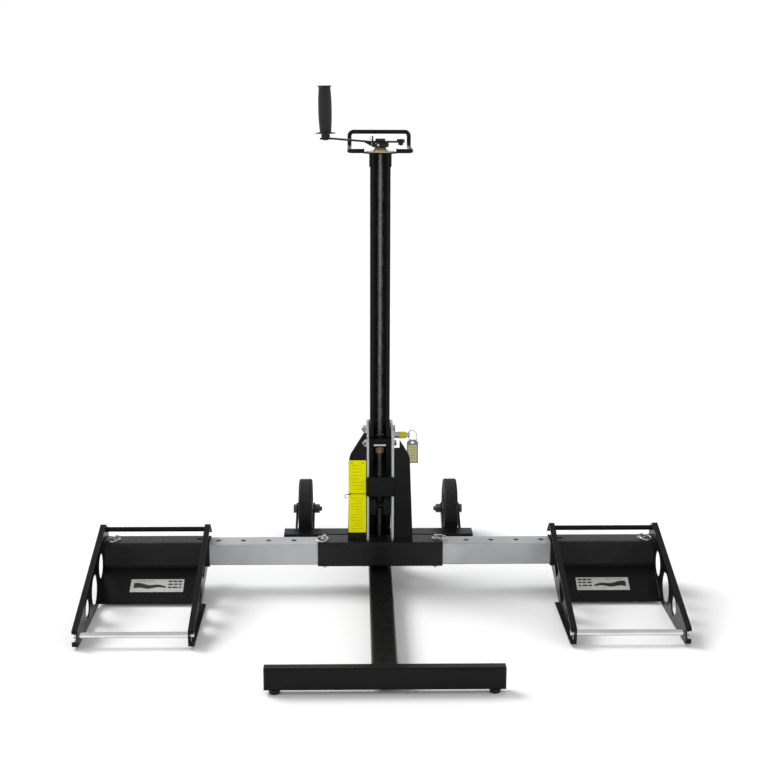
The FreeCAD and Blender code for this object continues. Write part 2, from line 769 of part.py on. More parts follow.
def wheels():
    """A rubber tyre on a moulded hub whose web has round holes, on each side."""
    half = "(Dim.wheel_width / 2)"
    bead = f"({half} - Dim.tyre_bead_inset)"
    tread = "(Dim.wheel_radius - Dim.tyre_shoulder)"
    side = f"({half} - Dim.tyre_shoulder)"
    tyre = turned("right_tyre", [
        ("Dim.rim_radius", f"-{bead}"),
        (tread, f"-{half}", "Dim.tyre_shoulder_sag"),
        ("Dim.wheel_radius", f"-{side}"),
        ("Dim.wheel_radius", side, "Dim.tyre_shoulder_sag"),
        (tread, half),
        ("Dim.rim_radius", bead),
    ])
    bore = "(Dim.axle_radius + Dim.axle_fit)"
    barrel = "Dim.hub_barrel_radius"
    rim = "(Dim.rim_radius - Dim.rim_depth)"
    web = "(Dim.hub_web / 2)"
    edge = "(Dim.rim_width / 2)"
    hub = turned("right_hub", [
        (bore, f"-{half}"), (barrel, f"-{half}"), (barrel, f"-{web}"), (rim, f"-{web}"),
        (rim, f"-{edge}"), ("Dim.rim_radius", f"-{edge}"), ("Dim.rim_radius", edge),
        (rim, edge), (rim, web), (barrel, web), (barrel, half), (bore, half),
    ])
    drilling = sketch(hub, "XY_Plane", web)
    circle(drilling, f"({barrel} + {rim}) / 2", "0", "Dim.hub_hole_radius")
    hole = pocket(hub, drilling, "Dim.hub_web + Dim.overrun")
    ring = hub.newObject("PartDesign::PolarPattern", "hub_holes")
    ring.Originals = [hole]
    ring.Axis = (drilling, ["N_Axis"])
    ring.Angle = 360
    bind(ring, Occurrences="Dim.hub_hole_count")
    hub.Tip = ring
    doc.recompute()
    for part in (tyre, hub):
        place(part, WHEEL_PLACE, AXLE_Y, "Dim.wheel_radius", ALONG_X)
    node("right_tyre", tyre)
    node("right_hub", hub)
    node("left_tyre", mirrored("left_tyre", tyre))
    node("left_hub", mirrored("left_hub", hub))


def mast():
    """The upright channel, open to the front, with the lock holes in its right side."""
    width = "(Dim.mast_width / 2)"
    slot = "(Dim.mast_slot / 2)"
    inside = f"({width} - Dim.mast_wall)"
    back = "(Dim.mast_depth - Dim.mast_wall)"
    right = [
        (slot, "0"), (width, "0"), (width, "Dim.mast_depth"),
    ]
    left = [
        (f"-{width}", "Dim.mast_depth"), (f"-{width}", "0"), (f"-{slot}", "0"),
        (f"-{slot}", "Dim.mast_wall"), (f"-{inside}", "Dim.mast_wall"), (f"-{inside}", back),
    ]
    closing = [(inside, back), (inside, "Dim.mast_wall"), (slot, "Dim.mast_wall")]
    channel = plate("mast_channel", "XY_Plane", right + left + closing,
                    f"Dim.mast_top - {MAST_BOTTOM}", [right[1], right[2], left[0], left[1]],
                    "Dim.mast_corner")
    drilling = sketch(channel, "YZ_Plane", width)
    first = f"{CROSS_TOP} + Dim.plunger_lift + Dim.lock_pitch - {MAST_BOTTOM}"
    circle(drilling, "Dim.mast_depth / 2", first, "Dim.lock_hole_radius")
    hole = pocket(channel, drilling, "Dim.mast_wall + Dim.overrun")
    travel = f"(Dim.mast_top - Dim.collar_height - {CARRIAGE_TOP})"
    repeat(channel, hole, drilling, "V_Axis", "Dim.lock_pitch",
           f"(floor({travel} / Dim.lock_pitch) - 1)")
    node("mast_channel", place(channel, y=MAST_FRONT, z=MAST_BOTTOM))

    wall = "Dim.collar_wall"
    outer = f"({width} + {wall})"
    behind = f"(Dim.mast_depth + {wall})"
    corners = [(outer, f"-{wall}"), (outer, behind), (f"-{outer}", behind),
               (f"-{outer}", f"-{wall}")]
    points = [
        (slot, f"-{wall}"), *corners, (f"-{slot}", f"-{wall}"), (f"-{slot}", "0"),
        (f"-{width}", "0"), (f"-{width}", "Dim.mast_depth"), (width, "Dim.mast_depth"),
        (width, "0"), (slot, "0"),
    ]
    collar = plate("mast_collar", "XY_Plane", points, "Dim.collar_height", corners,
                   "Dim.mast_corner")
    node("mast_collar", place(collar, y=MAST_FRONT, z="Dim.mast_top - Dim.collar_height"))

    ear = "(Dim.top_plate_ear / 2)"
    end = "(Dim.top_plate_depth / 2)"
    wide = "Dim.top_plate_half_width"
    neck = "Dim.top_plate_neck"
    points = [
        (neck, f"-{end}"), (wide, f"-{ear}"), (wide, ear), (neck, end),
        (f"-{neck}", end), (f"-{wide}", ear), (f"-{wide}", f"-{ear}"), (f"-{neck}", f"-{end}"),
    ]
    top = plate("top_plate", "XY_Plane", points, "Dim.top_plate_thickness",
                holes=[("0", "0", "Dim.screw_radius + Dim.overrun")])
    node("top_plate", place(top, y=SCREW_Y, z="Dim.mast_top"))

    bore = "Dim.screw_radius + Dim.screw_fit"
    washer = sleeve_of("thrust_washer", bore, "Dim.thrust_washer_radius",
                       "Dim.thrust_washer_thickness")
    node("thrust_washer", place(washer, y=SCREW_Y, z=PLATE_TOP))
    bearing = turned("thrust_bearing", [
        (bore, "0"), ("Dim.thrust_bearing_radius", "0"),
        ("Dim.thrust_bearing_top_radius", "Dim.thrust_bearing_height"),
        (bore, "Dim.thrust_bearing_height"),
    ])
    place(bearing, y=SCREW_Y, z=f"{PLATE_TOP} + Dim.thrust_washer_thickness")
    node("thrust_bearing", bearing)
    flange = "Dim.foot_bush_flange"
    bush = turned("screw_foot_bush", [
        (bore, "0"), ("Dim.foot_bush_flange_radius", "0"), ("Dim.foot_bush_flange_radius", flange),
        ("Dim.foot_bush_radius", flange), ("Dim.foot_bush_radius", "Dim.foot_bush_height"),
        (bore, "Dim.foot_bush_height"),
    ])
    node("screw_foot_bush", place(bush, y=SCREW_Y, z=MAST_BOTTOM))


def handle_loop():
    """The lifting handle: a rod that leaves the top plate on both sides, runs back below the
    sweep of the crank and rises behind it."""
    low = f"{PLATE_TOP} + Dim.loop_lift"
    high = f"{low} + Dim.loop_rise"
    back = f"{SCREW_Y} + Dim.loop_reach"
    side = "Dim.loop_half_width"
    start = "(Dim.top_plate_half_width + Dim.running_gap)"
    points = [
        (start, SCREW_Y, low), (side, SCREW_Y, low), (side, back, low),
        (side, back, high), (f"-{side}", back, high), (f"-{side}", back, low),
        (f"-{side}", SCREW_Y, low), (f"-{start}", SCREW_Y, low),
    ]
    node("handle_loop", bent_rod("handle_loop", points, "Dim.loop_rod_radius", "Dim.loop_bend"))


def crank():
    """The lead screw and the crank on its top end."""
    screw_bottom = f"({MAST_BOTTOM} + Dim.screw_foot_gap)"
    nut_bottom = f"({ARM_BOTTOM} + Dim.crank_arm_thickness)"
    screw = cylinder("lead_screw", "Dim.screw_radius",
                     f"{nut_bottom} + Dim.crank_nut_height - {screw_bottom}")
    node("lead_screw", place(screw, y=SCREW_Y, z=screw_bottom))

    bore = "(Dim.screw_radius + Dim.screw_fit)"
    edge = "Dim.crank_hub_edge"
    hub = turned("crank_hub", [
        (bore, "0"), (f"Dim.crank_hub_radius - {edge}", "0"), ("Dim.crank_hub_radius", edge),
        ("Dim.crank_hub_radius", f"Dim.crank_hub_height - {edge}"),
        (f"Dim.crank_hub_radius - {edge}", "Dim.crank_hub_height"), (bore, "Dim.crank_hub_height"),
    ])
    node("crank_hub", place(hub, y=SCREW_Y, z=HUB_BOTTOM))
    nut = hex_nut("crank_nut", bore, "Dim.crank_nut_across", "Dim.crank_nut_height")
    node("crank_nut", place(nut, y=SCREW_Y, z=nut_bottom))
    crank_arm(bore)

    bolt_x = "Dim.crank_bolt_place"
    bolt = hex_bolt("crank_bolt", "Dim.crank_bolt_radius",
                    "Dim.crank_arm_thickness + Dim.crank_bolt_nut + Dim.crank_bolt_radius / 2",
                    "Dim.crank_bolt_head_across", "Dim.crank_bolt_head")
    place(bolt, bolt_x, SCREW_Y, nut_bottom)
    under = hex_nut("crank_bolt_nut", "Dim.crank_bolt_radius + Dim.screw_fit",
                    "Dim.crank_bolt_across", "Dim.crank_bolt_nut")
    place(under, bolt_x, SCREW_Y, f"{ARM_BOTTOM} - Dim.crank_bolt_nut")
    node("crank_arm_bolt", group("crank_arm_bolt", bolt, under))

    lean = Rotation(Vector(0, 1, 0), -value("Dim.grip_lean"))
    foot = f"({grip_foot()} + Dim.crank_arm_thickness)"
    inside = f"(Dim.grip_neck_height + Dim.grip_length - Dim.grip_crown)"
    rivet = "Dim.spindle_rivet_radius"
    under_arm = "(Dim.crank_arm_thickness + Dim.running_gap)"
    spindle = turned("grip_spindle", [
        ("0", f"-{under_arm} - Dim.spindle_rivet_height"),
        (f"{rivet} - Dim.crank_hub_edge / 2", f"-{under_arm} - Dim.spindle_rivet_height"),
        (rivet, f"-{under_arm}"),
        ("Dim.spindle_radius", f"-{under_arm}"),
        ("Dim.spindle_radius", f"{inside} - Dim.spindle_end_gap"),
        ("0", f"{inside} - Dim.spindle_end_gap"),
    ])
    place(spindle, "-Dim.crank_radius", SCREW_Y, foot, lean)
    node("grip_spindle", spindle)

    hole = "(Dim.spindle_radius + Dim.screw_fit)"
    disc = "(Dim.running_gap + Dim.grip_neck_height)"
    top = "(Dim.running_gap + Dim.grip_neck_height + Dim.grip_length)"
    cap = f"({top} - Dim.grip_cap_height)"
    grip = turned("crank_grip", [
        (hole, "Dim.running_gap"), ("Dim.grip_neck_radius", "Dim.running_gap"),
        ("Dim.grip_neck_radius", disc), ("Dim.grip_disc_radius", disc),
        ("Dim.grip_disc_radius", f"{disc} + Dim.grip_disc_edge"),
        ("Dim.grip_low_radius", f"{disc} + Dim.grip_disc_height", "Dim.grip_belly"),
        ("Dim.grip_top_radius", cap),
        ("Dim.grip_cap_radius", f"{top} - Dim.grip_cap_edge"),
        (f"Dim.grip_cap_radius - Dim.grip_cap_edge", top),
        ("0", top), ("0", inside), (hole, inside),
    ])
    node("crank_grip", place(grip, "-Dim.crank_radius", SCREW_Y, foot, lean))


def grip_foot():
    """The height of the arm's underside below the grip."""
    drop = "(tan(Dim.grip_lean) * Dim.crank_arm_seat)"
    return f"({ARM_BOTTOM} + Dim.crank_arm_rise - {drop})"


def crank_arm(bore):
    """A flat bar, bent up towards the grip, with a rib under its root."""
    width = "Dim.crank_arm_width"
    tail = "Dim.crank_arm_tail"
    bend = "-Dim.crank_arm_bend"
    seat = "(Dim.crank_radius - Dim.crank_arm_seat)"
    end = "(Dim.crank_radius + Dim.crank_arm_seat)"
    rise = "Dim.crank_arm_rise"
    tip = f"({rise} - tan(Dim.grip_lean) * 2 * Dim.crank_arm_seat)"
    thick = "Dim.crank_arm_thickness"
    low = [(tail, "0"), (bend, "0"), (f"-{seat}", rise), (f"-{end}", tip)]
    high = [(x, f"{z} + {thick}") for x, z in reversed(low)]
    part = plate("crank_arm", "XZ_Plane", low + high, width)
    ribs = sketch(part, "XZ_Plane", f"({width} - Dim.crank_rib_thickness) / 2")
    root = "(Dim.crank_hub_radius + Dim.running_gap)"
    slope = f"({rise} / ({seat} - Dim.crank_arm_bend))"
    outer = f"({root} + Dim.crank_rib_length)"
    outline(ribs, [
        (f"-{root}", "-Dim.crank_rib_depth"), (f"-{root}", f"{thick} / 2"),
        (f"-{outer}", f"{thick} / 2 + {slope} * ({outer} - Dim.crank_arm_bend)"),
        (f"-{outer}", f"{slope} * ({outer} - Dim.crank_arm_bend) - {thick} / 4"),
    ])
    pad(part, ribs, "Dim.crank_rib_thickness")
    drilling = sketch(part, "XY_Plane", "2 * Dim.crank_arm_rise + Dim.crank_arm_thickness")
    ends = rectangle(f"-{end}", f"-{width}", tail, "0")
    round_corners(part, drilling, ends, "Dim.crank_arm_rounding")
    circle(drilling, "0", f"-{width} / 2", bore)
    circle(drilling, "Dim.crank_bolt_place", f"-{width} / 2",
           "Dim.crank_bolt_radius + Dim.screw_fit")
    circle(drilling, "-Dim.crank_radius", f"-{width} / 2", "Dim.spindle_radius + Dim.running_gap")
    pocket(part, drilling, "3 * Dim.crank_arm_rise + Dim.crank_arm_thickness")
    node("crank_arm", place(part, y=f"{SCREW_Y} + {width} / 2", z=ARM_BOTTOM))


def carriage():
    """The cross tube with the plates that stand on it and hold the nut and the guide pads."""
    cross = tube("cross_tube", "YZ_Plane", "Dim.cross_tube_side", "Dim.cross_tube_side",
                 "Dim.cross_tube_wall", "Dim.cross_tube_corner", "Dim.cross_tube_length")
    drilling = sketch(cross, "XY_Plane", "Dim.cross_tube_side")
    middle = "Dim.cross_tube_length / 2"
    circle(drilling, f"{middle} - Dim.arm_pin_place", "0", "Dim.pin_hole_radius")
    circle(drilling, f"{middle} + Dim.arm_pin_place", "0", "Dim.pin_hole_radius")
    pocket(cross, drilling, "Dim.cross_tube_side + Dim.overrun")
    node("cross_tube", place(cross, f"-{middle}", CROSS_Y, CROSS_BOTTOM))

    inner = "Dim.side_plate_face + Dim.side_plate_thickness"
    share = WING_SHARES
    height = "Dim.wing_top_height"
    foot = ("Dim.wing_foot_edge", "0")
    shoulder_height = f"({share['shoulder']} * {height})"
    shoulder = ("Dim.wing_shoulder_edge", shoulder_height)
    left_shoulder = ("Dim.left_wing_shoulder_edge", shoulder_height)
    left_top = ("Dim.left_wing_top_edge", height)
    whole = plate("wing_blank", "XZ_Plane", [(inner, "0"), foot, left_shoulder, left_top,
                                             (inner, height)],
                  "Dim.wing_thickness", [left_shoulder], "Dim.wing_rounding")
    bite = sketch(whole, "XZ_Plane", "Dim.wing_thickness")
    circle(bite, inner, f"{share['bite']} * {height}", "Dim.wing_bite_radius")
    pocket(whole, bite, "Dim.wing_thickness + Dim.overrun")
    place(whole, y=f"{SIDE_FRONT} + Dim.wing_thickness", z=CROSS_TOP)
    node("left_wing_plate", mirrored("left_wing_plate", whole))
    slope = (f"(({height} - {shoulder_height})"
             " / (Dim.wing_shoulder_edge - Dim.wing_top_edge))")
    step = (f"{shoulder_height}"
            f" + {slope} * (Dim.wing_shoulder_edge - Dim.wing_notch_edge)")
    notch = f"{share['notch']} * {height}"
    right = plate("right_wing_plate", "XZ_Plane", [
        (inner, "0"), foot, shoulder, ("Dim.wing_notch_edge", step),
        ("Dim.wing_notch_edge", notch), (inner, notch),
    ], "Dim.wing_thickness", [shoulder], "Dim.wing_rounding")
    node("right_wing_plate",
         place(right, y=f"{SIDE_FRONT} + Dim.wing_thickness", z=CROSS_TOP))

    corners = rectangle(f"-({inner})", "0", inner, "Dim.brace_height")
    brace = plate("front_brace", "XZ_Plane", corners, "Dim.wing_thickness", corners,
                  "Dim.brace_corner")
    node("front_brace", place(brace, y=SIDE_FRONT, z=f"{CROSS_TOP} + Dim.brace_lift"))
    side_plates()
    mast_liners()
    guides(nut_carrier())


def pad_axis(depth):
    """How far back from the side plates' front edges a guide pad's bolt lies."""
    return f"({depth} - {SIDE_FRONT} + Dim.guide_pad_depth / 2)"


def side_plates():
    """The zinc plates beside the mast, drilled for the three bolts and the plunger."""
    depth = "Dim.side_plate_depth"
    height = "Dim.side_plate_height"
    share = SIDE_PLATE_SHARES
    waist = f"{share['waist_depth']} * {depth}"
    foot = "Dim.cross_tube_side - Dim.wing_setback"
    points = [
        ("0", "0"), (foot, "0"), (waist, f"{share['foot_rise']} * {height}"),
        (waist, f"{share['waist_rise']} * {height}"), (depth, f"{share['ear_rise']} * {height}"),
        (depth, height), ("0", height),
    ]
    bolt = "Dim.carriage_bolt_radius + Dim.carriage_bolt_fit"
    holes = [
        (pad_axis(PAD_FRONT), "Dim.front_pad_lift", bolt),
        (pad_axis(PAD_BACK), "Dim.rear_pad_lift", bolt),
        (f"{CARRIER_FRONT} - {SIDE_FRONT} + Dim.carrier_front_depth / 2",
         "Dim.nut_height + Dim.carrier_height / 2",
         "Dim.carrier_bolt_radius + Dim.carriage_bolt_fit"),
        (f"{SCREW_Y} - {SIDE_FRONT}", "Dim.plunger_lift", "Dim.plunger_nose_radius"),
    ]
    part = plate("side_plate", "YZ_Plane", points, "Dim.side_plate_thickness", points[2:6],
                 "Dim.side_plate_rounding", holes)
    pair("side_plates", place(part, "Dim.side_plate_face", SIDE_FRONT, CROSS_TOP))


def mast_liners():
    """Black strips between the mast and the side plates, and in front of the mast beside its
    slot, with a hole for the lock plunger."""
    inside = "(Dim.mast_width / 2 + Dim.running_gap)"
    front = f"({MAST_FRONT} - Dim.running_gap)"
    bottom = f"({CROSS_TOP} - Dim.liner_drop)"
    long = primitive("Part::Box", "side_liner_blank", Length=f"Dim.side_plate_face - {inside}",
                     Width=f"Dim.mast_depth + Dim.running_gap - Dim.liner_back_gap",
                     Height=f"{CARRIAGE_TOP} - {bottom}")
    place(long, inside, front, bottom)
    hole = cylinder("liner_hole", "Dim.plunger_radius + Dim.running_gap",
                    "Dim.side_plate_face")
    place(hole, inside, SCREW_Y, f"{CROSS_TOP} + Dim.plunger_lift", ALONG_X)
    long = cut("side_liner", long, hole)
    above_pad = (f"({CROSS_TOP} + Dim.front_pad_lift + Dim.guide_pad_height / 2"
                 f" + Dim.liner_pad_gap)")
    short = primitive("Part::Box", "front_liner", Length="Dim.liner_lip",
                      Width="Dim.liner_thickness", Height=f"{CARRIAGE_TOP} - {above_pad}")
    place(short, "Dim.side_plate_face - Dim.liner_lip", f"{front} - Dim.liner_thickness",
          above_pad)
    node("mast_liners", group("mast_liners", long, mirrored("side_liner_other", long),
                              short, mirrored("front_liner_other", short)))


def nut_carrier():
    """The block that reaches through the mast's slot to the screw, and the nut under it. Gives
    the two short bolts that hold the block between the side plates, and their washers."""
    half = "(Dim.side_plate_face - Dim.running_gap)"
    tongue = "(Dim.mast_slot / 2 - Dim.carrier_slot_play)"
    house = "(Dim.mast_width / 2 - Dim.mast_wall - Dim.carrier_mast_play)"
    front = "Dim.carrier_front_depth"
    inside = f"(Dim.carrier_reach + Dim.mast_wall + Dim.carrier_mast_play)"
    axis = "(Dim.carrier_reach + Dim.mast_depth / 2)"
    back = ("(Dim.carrier_reach + Dim.mast_depth - Dim.mast_wall - Dim.carrier_mast_play)")
    part = plate("nut_carrier", "XY_Plane", [
        (f"-{half}", "0"), (half, "0"), (half, front), (tongue, front), (tongue, inside),
        (house, inside), (house, back), (f"-{house}", back), (f"-{house}", inside),
        (f"-{tongue}", inside), (f"-{tongue}", front), (f"-{half}", front),
    ], "Dim.carrier_height", holes=[("0", axis, "Dim.nut_spigot_radius + Dim.nut_seat_fit")])
    mouth = sketch(part, "XZ_Plane")
    wide = "Dim.carrier_mouth_half_width"
    outline(mouth, rectangle(f"-{wide}", "-Dim.overrun", wide, "Dim.carrier_mouth_height"))
    pocket(part, mouth, f"{front} / 2")
    for face, inwards in ((half, False), (f"-{half}", True)):
        drilling = sketch(part, "YZ_Plane", face)
        circle(drilling, f"{front} / 2", "Dim.carrier_height / 2", "Dim.carrier_bolt_radius")
        pocket(part, drilling, "Dim.carrier_bolt_depth", inwards)
    node("nut_carrier", place(part, y=CARRIER_FRONT, z=CARRIER_BOTTOM))

    under_head = "Dim.carrier_washer_thickness"
    bolt = hex_bolt("carrier_bolt", "Dim.carrier_bolt_radius",
                    f"{SIDE_OUTER} + {under_head} - {half} + Dim.carrier_bolt_depth",
                    "Dim.carrier_bolt_across", "Dim.carrier_bolt_head")
    bolt_y = f"{CARRIER_FRONT} + {front} / 2"
    bolt_z = f"{CARRIER_BOTTOM} + Dim.carrier_height / 2"
    place(bolt, f"{SIDE_OUTER} + {under_head}", bolt_y, bolt_z, ALONG_X)
    ring = sleeve_of("carrier_washer", "Dim.carrier_bolt_radius + Dim.carriage_bolt_fit",
                     "Dim.carrier_washer_radius", under_head)
    place(ring, SIDE_OUTER, bolt_y, bolt_z, ALONG_X)
    short_bolts = (bolt, mirrored("carrier_bolt_other", bolt),
                   ring, mirrored("carrier_washer_other", ring))

    thickness = "Dim.nut_washer_thickness"
    washer = sleeve_of("nut_washer", "Dim.nut_spigot_radius + Dim.nut_seat_fit",
                       "Dim.nut_washer_radius", thickness)
    node("nut_washer", place(washer, y=SCREW_Y, z=f"{CARRIER_BOTTOM} - {thickness}"))
    bore = "(Dim.screw_radius + Dim.screw_fit)"
    spigot = "Dim.nut_spigot_radius"
    top = f"({thickness} + Dim.carrier_height)"
    nut = turned("lift_nut", [
        (bore, "-Dim.nut_body_length"), ("Dim.nut_low_radius", "-Dim.nut_body_length"),
        ("Dim.nut_top_radius", "0"), (spigot, "0"), (spigot, top), (bore, top),
    ])
    node("lift_nut", place(nut, y=SCREW_Y, z=f"{CARRIER_BOTTOM} - {thickness}"))
    return short_bolts


def through_bolt(name, y, z):
    """A bolt through both side plates, with its head on the right and its nut on the left."""
    bolt = hex_bolt(name, "Dim.carriage_bolt_radius",
                    f"2 * {SIDE_OUTER} + Dim.carriage_nut_height + Dim.carriage_bolt_end",
                    "Dim.carriage_bolt_across", "Dim.carriage_bolt_head")
    place(bolt, SIDE_OUTER, y, z, ALONG_X)
    nut = hex_nut(f"{name}_nut", "Dim.carriage_bolt_radius", "Dim.carriage_bolt_across",
                  "Dim.carriage_nut_height")
    place(nut, f"-{SIDE_OUTER} - Dim.carriage_nut_height", y, z, ALONG_X)
    return bolt, nut


def guides(short_bolts):
    """The pads that run on the front and the back of the mast, and all the carriage's bolts."""
    depth = "Dim.guide_pad_depth"
    low = "-Dim.guide_pad_height / 2"
    high = "Dim.guide_pad_height / 2"
    bore = (f"{depth} / 2", "0", "Dim.carriage_bolt_radius + Dim.carriage_bolt_fit")
    side = "(Dim.side_plate_face - Dim.guide_side_play)"
    inside = "(Dim.guide_spacer_half_length + Dim.guide_side_play)"
    corners = rectangle("0", low, depth, high)

    front = plate("front_pad", "YZ_Plane", corners, f"{side} - {inside}", corners,
                  "Dim.guide_pad_corner", [bore])
    front_z = f"({CROSS_TOP} + Dim.front_pad_lift)"
    place(front, inside, PAD_FRONT, front_z)
    rear = plate("rear_guide_pad", "YZ_Plane", corners, f"2 * {side}", corners,
                 "Dim.guide_pad_corner", [bore])
    rear_z = f"({CROSS_TOP} + Dim.rear_pad_lift)"
    place(rear, f"-{side}", PAD_BACK, rear_z)
    node("guide_pads", group("guide_pads", front, mirrored("front_pad_other", front), rear))

    spacer = sleeve_of("guide_spacer", "Dim.carriage_bolt_radius + Dim.carriage_bolt_fit",
                       "Dim.guide_spacer_radius", "2 * Dim.guide_spacer_half_length")
    front_y = f"({PAD_FRONT} + {depth} / 2)"
    place(spacer, "-Dim.guide_spacer_half_length", front_y, front_z, ALONG_X)
    node("guide_spacer", spacer)
    bolts = through_bolt("front_pad_bolt", front_y, front_z)
    bolts += through_bolt("rear_pad_bolt", f"{PAD_BACK} + {depth} / 2", rear_z)
    node("carriage_bolts", group("carriage_bolts", *bolts, *short_bolts))


def arms():
    """The square tubes that slide out of the cross tube, drilled for the ring pins."""
    arm = tube("right_arm", "YZ_Plane", "Dim.arm_side", "Dim.arm_side", "Dim.arm_wall",
               "Dim.arm_corner", "Dim.arm_end - Dim.arm_start")
    coarse = ("((Dim.pan_pin_place - Dim.fine_stops * Dim.fine_pitch - Dim.first_arm_hole)"
              " / Dim.coarse_stops)")
    last_fine = "(Dim.pan_pin_place - (Dim.fine_stops - 1) * Dim.fine_pitch)"
    rows = (
        ("Dim.arm_pin_place", None, None),
        ("Dim.first_arm_hole", coarse, "Dim.coarse_stops"),
        (last_fine, "Dim.fine_pitch", "Dim.fine_stops - 1"),
    )
    for first, pitch, gaps in rows:
        drilling = sketch(arm, "XY_Plane", "Dim.arm_side")
        circle(drilling, f"{first} - Dim.arm_start", "0", "Dim.pin_hole_radius")
        hole = pocket(arm, drilling, "Dim.arm_side + Dim.overrun")
        if pitch:
            repeat(arm, hole, drilling, "H_Axis", pitch, gaps)
    z = f"{CROSS_BOTTOM} + (Dim.cross_tube_side - Dim.arm_side) / 2"
    node("right_arm", place(arm, "Dim.arm_start", CROSS_Y, z))
    node("left_arm", mirrored("left_arm", arm))


def lock_plunger():
    """The spring plunger that locks the carriage to the mast, with its pull ring and tag."""
    z = f"({CROSS_TOP} + Dim.plunger_lift)"
    bore = "(Dim.plunger_radius + Dim.plunger_fit)"
    collar = "Dim.side_plate_thickness"
    long = f"({collar} + Dim.plunger_housing_length)"
    nose = "(Dim.plunger_nose_radius - Dim.plunger_fit)"
    housing = turned("plunger_housing", [
        (bore, "0"), (nose, "0"), (nose, collar), ("Dim.plunger_housing_radius", collar),
        ("Dim.plunger_housing_radius", long), (bore, long),
    ])
    node("plunger_housing", place(housing, "Dim.side_plate_face", SCREW_Y, z, ALONG_X))

    tip_x = "(Dim.mast_width / 2 + Dim.running_gap)"
    sleeve_x = f"({SIDE_OUTER} + Dim.plunger_housing_length + Dim.running_gap)"
    head_x = f"({sleeve_x} + Dim.plunger_sleeve_length)"
    shank = f"({head_x} - {tip_x})"
    head = "Dim.plunger_cap_radius"
    edge = "Dim.running_gap"
    pin = turned("plunger_pin", [
        ("0", "0"), (f"Dim.plunger_radius - {edge}", "0"), ("Dim.plunger_radius", edge),
        ("Dim.plunger_radius", shank), (head, shank), (head, f"{shank} + Dim.plunger_cap_length"),
        ("0", f"{shank} + Dim.plunger_cap_length"),
    ])
    eye = sketch(pin, "YZ_Plane", head)
    middle = f"({shank} + Dim.plunger_cap_length / 2)"
    circle(eye, "0", middle, "Dim.pull_ring_hole_radius")
    pocket(pin, eye, f"2 * {head} + Dim.overrun")
    node("plunger_pin", place(pin, tip_x, SCREW_Y, z, ALONG_X))
    sleeve = sleeve_of("plunger_sleeve", "Dim.plunger_radius", "Dim.plunger_sleeve_radius",
                       "Dim.plunger_sleeve_length")
    node("plunger_sleeve", place(sleeve, sleeve_x, SCREW_Y, z, ALONG_X))

    eye_x = f"({head_x} + Dim.plunger_cap_length / 2)"
    away = "Dim.pull_ring_radius * cos(Dim.pull_ring_turn)"
    aside = "Dim.pull_ring_radius * sin(Dim.pull_ring_turn)"
    ring = primitive("Part::Torus", "pull_ring", Radius1="Dim.pull_ring_radius",
                     Radius2="Dim.pull_ring_wire")
    stand = Rotation(Vector(0, 0, 1), -value("Dim.pull_ring_turn"))
    stand = stand.multiply(Rotation(Vector(1, 0, 0), 90))
    place(ring, f"{eye_x} + {away}", f"{SCREW_Y} - {aside}", z, stand)
    node("pull_ring", ring)

    half = "(Dim.pull_tag_width / 2)"
    cut_off = "Dim.pull_tag_corner"
    top = "Dim.pull_tag_hole_drop"
    low = f"({top} - Dim.pull_tag_height)"
    tag = plate("pull_tag", "XZ_Plane", [
        (f"-{half}", low), (half, low), (half, f"{top} - {cut_off}"),
        (f"{half} - {cut_off}", top), (f"{cut_off} - {half}", top),
        (f"-{half}", f"{top} - {cut_off}"),
    ], "Dim.pull_tag_thickness", holes=[("0", "0", "Dim.pull_tag_hole_radius")])
    hang = "(Dim.pull_tag_hole_radius - Dim.pull_ring_wire - 2 * Dim.running_gap)"
    place(tag, f"{eye_x} + {away}", f"{SCREW_Y} - {aside} + Dim.pull_tag_thickness / 2",
          f"{z} - Dim.pull_ring_radius - {hang}")
    node("pull_tag", tag)


def ring_pin(name, x, turn):
    """A pin with a collar, and a wire ring through the eye in its head."""
    drop = "(Dim.cross_tube_side + Dim.running_gap + Dim.pin_past_tube)"
    tip = "Dim.pin_tip"
    head = "Dim.pin_head_radius"
    collar = "Dim.pin_collar_radius"
    part = turned(f"{name}_stem", [
        ("0", f"-{drop}"), (f"Dim.pin_radius - {tip}", f"-{drop}"),
        ("Dim.pin_radius", f"{tip} - {drop}"), ("Dim.pin_radius", "0"), (collar, "0"),
        (collar, "Dim.pin_collar_height"), (head, "Dim.pin_collar_height"),
        (head, "Dim.pin_head_height"), ("0", "Dim.pin_head_height"),
    ])
    eye = sketch(part, "XZ_Plane", head)
    circle(eye, "0", "Dim.pin_eye_height", "Dim.pin_eye_radius")
    pocket(part, eye, f"2 * {head} + Dim.overrun")
    ring = primitive("Part::Torus", f"{name}_ring", Radius1="Dim.pin_ring_radius",
                     Radius2="Dim.pin_ring_wire")
    place(ring, "Dim.pin_ring_radius * cos(Dim.pin_ring_droop)", 0,
          "Dim.pin_eye_height - Dim.pin_ring_radius * sin(Dim.pin_ring_droop)",
          Rotation(Vector(0, 1, 0), value("Dim.pin_ring_droop")))
    both = group(name, part, ring)
    place(both, x, CROSS_Y, f"{CROSS_TOP} + Dim.running_gap",
          Rotation(Vector(0, 0, 1), value(turn)))
    node(name, both)


